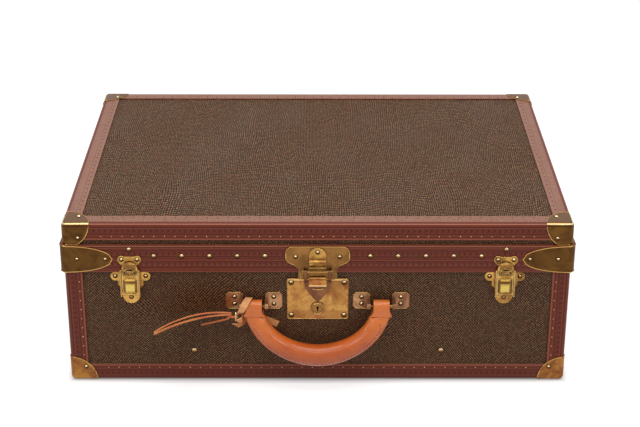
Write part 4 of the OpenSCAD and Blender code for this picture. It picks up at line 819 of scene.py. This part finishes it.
class Pile:
    """Verts and faces of many small forms that become one mesh."""

    def __init__(self):
        self.verts, self.faces = [], []

    def add(self, verts, faces):
        k = len(self.verts)
        self.verts += verts
        self.faces += [tuple(i + k for i in f) for f in faces]

    def tube(self, points, radius, sides=8, up=None):
        """A round bead along a line."""
        pts = [Vector(p) for p in points]
        n = len(pts)
        verts, faces = [], []
        for i, p in enumerate(pts):
            d = (pts[min(i + 1, n - 1)] - pts[max(i - 1, 0)]).normalized()
            if up is None:
                up = Vector((0, -1, 0)) if abs(d.y) < 0.9 else Vector((0, 0, 1))
            u = (up - d * up.dot(d)).normalized()
            w = d.cross(u)
            up = u
            for k in range(sides):
                a = 2 * math.pi * k / sides
                verts.append(p + u * math.cos(a) * radius + w * math.sin(a) * radius)
        for i in range(n - 1):
            for k in range(sides):
                a, b = i * sides + k, i * sides + (k + 1) % sides
                faces.append((a, b, b + sides, a + sides))
        faces.append(tuple(range(sides - 1, -1, -1)))
        faces.append(tuple(range((n - 1) * sides, n * sides)))
        self.add(verts, faces)

    def make(self, name, mat, body, slot="antique_brass"):
        new_mesh(name, self.verts, self.faces, mat, body)


TREES = {}
# The y at which the rays that look for a piece's front start
RAYS_FROM = -0.4


def tree_of(node):
    """A CAD node's faces, kept for casting rays at them."""
    if node not in TREES:
        bm = bmesh.new()
        bm.from_mesh(NODES[node].data)
        TREES[node] = BVHTree.FromBMesh(bm)
        bm.free()
    return TREES[node]


def front(node, x, z, back=0.0):
    """The point on a piece's front at x and z, in metres, and never behind y = back."""
    hit = tree_of(node).ray_cast(Vector((x, RAYS_FROM, z)), Vector((0, 1, 0)))[0]
    return Vector((x, back if hit is None else min(back, hit.y), z))


# How far from the case's middle the outer faces of its brass plates begin
PLATE_REACH = (0.290, 0.212, 0.100)
# Outlines shorter than this on every side, such as rivet holes, get no rim
LEAST_LOOP = 6.0
# Least turn of a rimmed edge, how squarely its outer face looks out, and that face's least area
SHARP, SQUARE, LEAST_FACE = 0.9, 0.94, 4e-6


def outline_edges(node):
    """Long convex edges between a plate's outer face and its sides, as pairs of points."""
    bm = welded(node)
    bmesh.ops.dissolve_limit(bm, angle_limit=math.radians(1.0), verts=bm.verts, edges=bm.edges)
    bmesh.ops.recalc_face_normals(bm, faces=bm.faces)
    kept = []
    for e in bm.edges:
        if len(e.link_faces) != 2 or not e.is_convex or e.calc_face_angle(0.0) < SHARP:
            continue
        v, w = e.verts
        mid = (v.co + w.co) / 2
        for f in e.link_faces:
            n = f.normal
            k = max(range(3), key=lambda i: abs(n[i]))
            out = (mid[k] - CASE_MID[k]) * n[k]
            if abs(n[k]) > SQUARE and out > PLATE_REACH[k] and f.calc_area() > LEAST_FACE:
                kept.append((v.index, w.index, v.co.copy(), w.co.copy(), n.copy()))
                break
    bm.free()
    group = {}

    def find(a):
        group.setdefault(a, a)
        while group[a] != a:
            a = group[a]
        return a

    for a, b, *_ in kept:
        ra, rb = find(a), find(b)
        if ra != rb:
            group[ra] = rb
    boxes = {}
    for a, _, p, q, _ in kept:
        grow(boxes, find(a), p)
        grow(boxes, find(a), q)
    out = []
    for a, _, p, q, n in kept:
        lo, hi = boxes[find(a)]
        if max(hi[k] - lo[k] for k in range(3)) > LEAST_LOOP * MM:
            out.append((p, q, n))
    return out


def rim(node, radius, mat):
    """A rolled bright bead along a plate's outline."""
    pile = Pile()
    for p, q, n in outline_edges(node):
        d = (q - p).normalized() * radius * MM * 0.35
        pile.tube([p - d, q + d], radius * MM, sides=6, up=n)
    if pile.verts:
        pile.make(node + "_rim", mat, BODY_OF[node])


# Rings round rivet heads: sides, distance out from the head in metres, radius in millimetres
RING_SIDES = 18
RING_OUT = 0.0001
RING_R = 0.55


def head_rings(node, mat):
    """A dark ring of old polish and soiling round each rivet's head, with painted shade under the head's
    edge.
    """
    pile = Pile()
    for cos in solids_of(node):
        lo = Vector([min(c[k] for c in cos) for k in range(3)])
        hi = Vector([max(c[k] for c in cos) for k in range(3)])
        size = hi - lo
        mid = (lo + hi) / 2
        k = min(range(3), key=lambda i: abs(size[(i + 1) % 3] - size[(i + 2) % 3]))
        u, v = (k + 1) % 3, (k + 2) % 3
        sign = 1.0 if mid[k] > CASE_MID[k] else -1.0
        radius = size[u] / 2
        wide = [c[k] for c in cos if math.hypot(c[u] - mid[u], c[v] - mid[v]) > radius * 0.97]
        at = max(wide, key=lambda height: height * sign)
        ring = []
        for i in range(RING_SIDES + 1):
            turn = 2 * math.pi * i / RING_SIDES
            p = mid.copy()
            p[k] = at
            p[u] += (radius + RING_OUT) * math.cos(turn)
            p[v] += (radius + RING_OUT) * math.sin(turn)
            ring.append(p)
        pile.tube(ring, RING_R * MM, sides=6, up=axis(k, sign))
    pile.make(node + "_rings", mat, BODY_OF[node])


# Stitches: spacing, length, radius of the thread and distance from the grip's middle plane
STITCH_STEP = 4.6
STITCH_L = 2.9
STITCH_R = 0.5
STITCH_OFF = 10.2
# Where the seam starts and how far it turns round the handle's pivot, in degrees, and its points
SEAM_FROM, SEAM_TURN, SEAM_POINTS = 14, 152, 180
# The handle's pivot line and how far the handle leans out from it at rest
HANDLE_PIVOT = (0, -0.231, 0.1076)
HANDLE_LEAN = math.radians(8)


def stitches(mat):
    """Saddle stitches along the grip's outer edge, on the front and on the back."""
    tree = tree_of("handle_grip")
    lean, pivot = HANDLE_LEAN, Vector(HANDLE_PIVOT)
    out = Vector((0, -math.cos(lean), math.sin(lean)))
    down = Vector((0, -math.sin(lean), -math.cos(lean)))
    pile = Pile()
    for side in (1, -1):
        line = []
        for i in range(SEAM_POINTS + 1):
            a = math.radians(SEAM_FROM + SEAM_TURN * i / SEAM_POINTS)
            d = Vector((math.cos(a), 0, 0)) + down * math.sin(a)
            hit = tree.ray_cast(pivot + out * side * STITCH_OFF * MM + d * 0.2, -d)[0]
            if hit is not None:
                line.append(hit)
        run, piece = 0.0, []
        for p, q in zip(line, line[1:]):
            if (run % (STITCH_STEP * MM)) < STITCH_L * MM:
                piece.append(p)
            else:
                if len(piece) > 1:
                    pile.tube(piece, STITCH_R * MM, sides=6, up=out * side)
                piece = []
            run += (q - p).length
    pile.make("handle_stitches", mat, BODY_OF["handle_grip"], slot="handle_leather")


# Distance of each latch from the case's centre line
LATCH_X = 0.222


def latch_paint(t, colour, cloud):
    """Yellow lever and lip, painted shade in the gaps round them, in the seam between them and in the
    half-moon recess, and light rails at the sides.
    """
    x, _, z = t.split(t.obj())
    dx = t.times(t.math("ABSOLUTE", t.math("SUBTRACT", t.math("ABSOLUTE", x), LATCH_X)), 1000.0)
    mm = t.times(z, 1000.0)

    def zone(x0, x1, z0, z1):
        return t.times(t.window(dx, x0, x1, 0.3), t.window(mm, z0, z1, 0.3))
    # Each zone is given by its distance from the latch's middle and its height, in millimetres
    # The half-moon recess, the gaps and the seam are painted shade
    moon, gaps = ((-1, 8.6, 146.2, 152.0), rgb(92, 56, 26)), ((5.4, 8.4, 124.0, 140.0), rgb(84, 52, 24))
    lip, lever = ((-1, 5.2, 139.5, 143.3), rgb(244, 206, 96)), ((-1, 5.2, 124.6, 135.6), rgb(214, 188, 96))
    seam, rails = ((-1, 6.2, 136.2, 139.2), rgb(96, 60, 30)), ((8.6, 10.4, 118.0, 150.0), rgb(236, 200, 130))
    bow = ((-1, 7.4, 153.5, 160.2), rgb(128, 86, 44))
    for box, shade in (moon, gaps, lip, lever, seam, rails, bow):
        colour = t.mix(t.times(zone(*box), 0.85), colour, shade)
    return colour


def tongue_paint(t, colour, cloud):
    """Golden flap above the brown shield, with a painted highlight on the roll at its lower end and a thin
    line of painted shade higher up.
    """
    x, _, z = t.split(t.obj())
    ax = t.times(t.math("ABSOLUTE", x), 1000.0)
    mm = t.times(z, 1000.0)
    flap = t.span(ax, 11.2, 10.6)
    gold = t.mix(t.span(cloud, 0.4, 0.62), rgb(204, 152, 78), rgb(168, 98, 56))
    colour = t.mix(t.times(flap, t.span(mm, 130.6, 131.2)), colour, gold)
    # Painted highlight on the roll
    roll = t.times(flap, t.window(mm, 131.4, 133.4, 0.3), t.span(cloud, 0.2, 0.5, 0.5, 0.9))
    colour = t.mix(roll, colour, rgb(240, 206, 140))
    # A thin line of painted shade across the flap
    return t.mix(t.times(flap, t.window(mm, 140.2, 141.4, 0.2)), colour, rgb(86, 50, 28))


def leg_paint(t, colour):
    """Lighter towards the ends, which is a painted highlight, and darker towards the bottom."""
    _, _, z = t.split(t.obj())
    mm = t.times(z, 1000.0)
    colour = t.mix(t.span(mm, 62.0, 92.0, 0.0, 0.4), colour, rgb(234, 134, 60))
    return t.mix(t.span(mm, 66.0, 48.0, 0.0, 0.5), colour, rgb(166, 70, 22))


def lock_paint(t, colour, cloud):
    """Reddish stains, a darker reddish band along the plate's lower edge that is painted shade, and a
    painted highlight on the fold at its top with a line of painted shade under it.
    """
    _, _, z = t.split(t.obj())
    mm = t.times(z, 1000.0)
    blot = t.noise(t.obj(), 120.0, 4.0, 0.65, 0.8)
    colour = t.mix(t.span(blot, 0.54, 0.62, 0.0, 0.75), colour, rgb(166, 92, 56))
    # Painted shade along the lower edge
    colour = t.mix(t.times(t.span(mm, 97.5, 96.0), 0.45), colour, rgb(150, 92, 54))
    # Painted highlight on the fold at the top
    colour = t.mix(t.times(t.span(mm, 136.0, 136.6), 0.8), colour, rgb(236, 186, 122))
    # Painted shade under the fold
    return t.mix(t.times(t.window(mm, 135.3, 136.0, 0.15), 0.7), colour, rgb(84, 50, 28))


# Build

make_camera()
make_stage()
make_world()
make_lights()

canvas = canvas_material()
# Pressed lines of the fibre as place, half width and depth, painted highlight lines along edges and
# ridges as place, half width and strength, rows of chevrons as place and height; all in millimetres
# from the strip's outer edge
TRIM_LINES = [(4.9, 0.75, 0.85), (13.9, 0.7, 0.9), (17.9, 0.5, 0.45)]
TRIM_HIGHLIGHTS = [(6.3, 0.6, 0.25), (15.6, 0.8, 0.15), (20.2, 1.4, 0.5)]
TRIM_ROWS = [(9.4, 4.8)]
BAND_LINES = [(2.3, 0.7, 0.75), (4.6, 0.4, 0.35), (6.6, 0.7, 0.85), (14.2, 0.7, 0.85), (17.2, 0.5, 0.5),
              (20.4, 0.7, 0.85), (27.8, 0.7, 0.8), (30.4, 0.4, 0.35), (32.4, 0.6, 0.5)]
BAND_HIGHLIGHTS = [(0.8, 0.9, 0.75), (3.5, 0.6, 0.3), (12.0, 0.8, 0.12), (18.8, 0.9, 0.2), (25.0, 1.8, 0.15),
               (31.4, 0.6, 0.3), (33.8, 0.6, 0.4)]
BAND_ROWS = [(10.3, 4.6), (24.1, 4.6)]
trim_fibre = fibre_material("trim_fibre", 21.5, TRIM_LINES, TRIM_HIGHLIGHTS, TRIM_ROWS, (158, 114, 94))
band_fibre = fibre_material("band_fibre", 34.4, BAND_LINES, BAND_HIGHLIGHTS, BAND_ROWS, (132, 70, 50))

brass_lock = brass_material("lock_brass", (196, 150, 82), (178, 124, 62), (126, 78, 40), (226, 188, 118),
                            rough=0.36, patina=0.75, spots=0.85, seed=0.3, paint=lock_paint)
brass_dark = brass_material("patina_brass", (150, 106, 56), (128, 88, 46), (98, 64, 34), (214, 172, 96),
                            rough=0.36, patina=0.6, grime_and_shade=0.85, seed=1.7)
# Its faces that look up get painted light: lighter tops, a painted highlight on the rounding and painted
# shade below it
brass_cap = brass_material("cap_brass", (110, 74, 32), (90, 58, 24), (66, 40, 18), (206, 164, 92),
                           rough=0.30, patina=0.7, grime_and_shade=0.8, rim_w=0.0008, seed=4.1,
                           faces=((134, 98, 70), (255, 226, 164)))
brass_base_cap = brass_material("base_cap_brass", (168, 118, 56), (150, 92, 50), (110, 58, 36),
                                (214, 172, 98), patina=0.9, grime_and_shade=0.7, spots=0.4, seed=4.6)
brass_band_cap = brass_material("band_cap_brass", (98, 66, 28), (84, 54, 22), (66, 40, 18), (196, 152, 84),
                                rough=0.30, grime_and_shade=0.8, seed=3.3)
brass_bright = brass_material("worn_brass", (196, 152, 78), (160, 112, 54), (104, 64, 32), (244, 214, 148),
                              rough=0.28, patina=0.8, seed=2.9)
brass_latch = brass_material("latch_brass", (208, 164, 86), (176, 126, 62), (104, 64, 32), (244, 214, 148),
                             rough=0.28, patina=0.8, seed=2.2, paint=latch_paint)
brass_bracket = brass_material("bracket_brass", (186, 140, 98), (152, 106, 76), (112, 72, 52),
                               (226, 190, 130), rough=0.38, patina=0.7, spots=0.3, seed=5.2)
brass_brown = brass_material("brown_brass", (140, 92, 62), (120, 78, 56), (96, 58, 44), (190, 140, 84),
                             rough=0.40, seed=6.3, paint=tongue_paint)
brass_rivet = rivet_material("rivet_brass", (250, 226, 176), (206, 158, 98), (92, 58, 30))
brass_shadow = brass_material("ring_brass", (84, 52, 26), (64, 38, 20), (46, 26, 14), (120, 80, 42),
                              rough=0.5, rim_amount=0.2, metallic=0.5, seed=8.0)
brass_nail = rivet_material("nail_brass", (238, 200, 150), (206, 150, 108), (140, 84, 56))
brass_nail_shaded = rivet_material("shaded_nail_brass", (96, 56, 46), (84, 46, 38), (52, 26, 22))
brass_rim = brass_material("rim_brass", (206, 160, 88), (188, 138, 68), (150, 100, 50), (236, 200, 130),
                           rough=0.26, patina=0.3, grime_and_shade=0.5, seed=9.1)

handle_leather = leather_material("handle_leather", (216, 108, 38), (196, 88, 28), (146, 58, 22),
                                  coat=0.6, specular=0.25, paint=leg_paint)
tag_leather = leather_material("tag_leather", (220, 134, 62), (192, 98, 50), (140, 60, 40),
                               rough=0.48, coat=0.05)
strap_leather = leather_material("strap_leather", (236, 172, 112), (218, 144, 84), (180, 108, 60),
                                 rough=0.5, coat=0.0)
pack_leather = leather_material("packing_leather", (176, 112, 66), (156, 92, 52), (120, 66, 38),
                                rough=0.5, coat=0.0)
plywood = wood_material()
lining = lining_material()
steel = steel_material()
thread = thread_material("waxed_thread", (150, 76, 32), (104, 48, 20))

# Canvas and fibre
dress("base_canvas", canvas, 0.4, "base_canvas_skin", uv=canvas_uv)
dress("lid_canvas", canvas, 0.4, "lid_canvas_skin", uv=canvas_uv)
dress("base_edge_trim", trim_fibre, 0.35, "base_fibre_trim", uv=trim_uv)
dress("lid_edge_trim", trim_fibre, 0.35, "lid_fibre_trim", uv=trim_uv)
dress("lid_band", band_fibre, 0.7, "lid_fibre_band", segments=3,
      uv=band_uv(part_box("lid_band")[1].z))
dress("base_back_strip", band_fibre, 0.5, "base_fibre_strip",
      uv=band_uv(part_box("base_back_strip")[1].z))
nails("base_trim_nails", brass_nail, brass_nail_shaded, "base_nail_heads")
nails("lid_trim_nails", brass_nail, brass_nail_shaded, "lid_nail_heads")

# Caps, then the rolled rims with their radius in millimetres, then the rivets
dress("base_corner_caps", brass_base_cap, 0.3, degrees=50)
dress("lid_corner_caps", brass_cap, 0.3, degrees=50)
dress("band_end_caps", brass_band_cap, 0.35, degrees=50)
for n, radius in (("base_corner_caps", 0.5), ("lid_corner_caps", 0.5), ("band_end_caps", 0.6),
                  ("hasp_plate", 0.55), ("latch_plates", 0.3), ("latch_keepers", 0.45),
                  ("lock_plate", 0.45), ("handle_brackets", 0.3)):
    rim(n, radius, brass_rim)
for n in ("base_cap_rivets", "lid_cap_rivets", "band_rivets", "band_cap_rivets", "lock_rivets",
          "bracket_rivets", "latch_rivets", "hasp_rivets", "keeper_rivets", "strap_studs",
          "hinge_base_rivets", "hinge_lid_rivets"):
    dress(n, brass_rivet, 0.0, degrees=50)
    head_rings(n, brass_shadow)

# Lock, hasp, latches, brackets and hinges
for n, mat, bevel in (
        ("lock_plate", brass_lock, 0.35), ("lock_plug", brass_dark, 0.25), ("hasp_plate", brass_dark, 0.4),
        ("hasp_spring", brass_bright, 0.3), ("hasp_tongue", brass_brown, 0.35),
        ("hasp_pin", brass_bright, 0.2), ("latch_plates", brass_latch, 0.35),
        ("latch_pins", brass_bright, 0.2), ("latch_keepers", brass_bright, 0.3),
        ("left_latch_hook", brass_latch, 0.3), ("right_latch_hook", brass_latch, 0.3),
        ("handle_brackets", brass_bracket, 0.3), ("handle_pins", brass_bright, 0.2),
        ("hinge_base_leaves", brass_dark, 0.2), ("hinge_lid_leaves", brass_dark, 0.2),
        ("hinge_pins", brass_bright, 0.2)):
    dress(n, mat, bevel)

# Inside of the case
for n in ("base_floor_board", "base_long_boards", "base_side_boards", "rim_frame", "lid_top_board",
          "lid_long_boards", "lid_side_boards"):
    coat(n, plywood)
dress("base_lining", lining, 0.0, "base_cloth_lining", uv=box_uv)
dress("lid_lining", lining, 0.0, "lid_cloth_lining", uv=box_uv)
for n in ("lock_case", "lock_bolt", "handle_core", "handle_bushes"):
    coat(n, steel)
dress("strap_buckles", brass_bright, 0.3)
dress("packing_straps", pack_leather, 0.4)

# Handle and tag
dress("handle_grip", handle_leather, 0.0, degrees=60)
stitches(thread)
dress("handle_ends", handle_leather, 0.6, degrees=40)
dress("tag_leaves", tag_leather, 0.3)
dress("tag_tail", tag_leather, 0.3)
dress("tag_loop_strap", strap_leather, 0.0, degrees=50)
dress("tag_buckle", brass_rivet, 0.2)

# Bars on the latch hooks as half length, height and radius in millimetres: the bow and the arc with
# the light lines of the lever, then dark beads in the seams between them, which stand for the shade there
BRIGHT_BARS = ((4.9, 141.6, 0.9), (7.0, 144.6, 0.6), (5.8, 134.6, 0.45), (5.8, 124.6, 0.45))
DARK_BARS = ((6.0, 123.2, 0.5), (6.4, 136.3, 0.5), (6.6, 146.6, 0.5))
# Rings round the keepers' rivets: distance from the latch's middle, height, radii, and number of sides
EYE_X, EYE_Z, EYE_R, EYE_BEAD, EYE_SIDES = 9.0, 163.2, 3.9, 0.5, 20
# Planes behind which no bead lies
KEEPER_BACK, HOOK_BACK = -0.219, -0.2225


def bars(hook, middle, places, sides):
    """Beads across a latch hook, which follow its front."""
    pile = Pile()
    for half, z, r in places:
        across = [middle + (2 * half * i / 8 - half) * MM for i in range(9)]
        pile.tube([front(hook, x, z * MM, HOOK_BACK) for x in across], r * MM, sides=sides)
    return pile


for side, hook in ((-1, "left_latch_hook"), (1, "right_latch_hook")):
    eyes = Pile()
    for dx in (-EYE_X, EYE_X):
        turns = [2 * math.pi * i / EYE_SIDES for i in range(EYE_SIDES + 1)]
        circle = [(side * LATCH_X + (dx + EYE_R * math.cos(a)) * MM, (EYE_Z + EYE_R * math.sin(a)) * MM)
                  for a in turns]
        eyes.tube([front("latch_keepers", x, z, KEEPER_BACK) for x, z in circle], EYE_BEAD * MM, sides=6)
    eyes.make(hook + "_rings", brass_rim, BODY_OF["latch_keepers"])
    bars(hook, side * LATCH_X, BRIGHT_BARS, 8).make(hook + "_beads", brass_rim, BODY_OF[hook])
    # Dark beads that stand for the shade in the seams
    bars(hook, side * LATCH_X, DARK_BARS, 6).make(hook + "_seams", brass_dark, BODY_OF[hook])

# Half-moon lip on the shield, for the thumb: half width, height of its ends, sag and radius
LIP_HALF, LIP_Z, LIP_SAG, LIP_R = 6.6, 126.9, 1.3, 0.8
lip = Pile()
lip.tube([front("hasp_tongue", x * MM, (LIP_Z - LIP_SAG * (1 - (x / LIP_HALF) ** 2)) * MM)
          for x in [2 * LIP_HALF * i / 12 - LIP_HALF for i in range(13)]], LIP_R * MM, sides=8)
lip.make("shield_lip", brass_rim, BODY_OF["hasp_tongue"])

scene = bpy.context.scene
scene.view_settings.view_transform = "Standard"
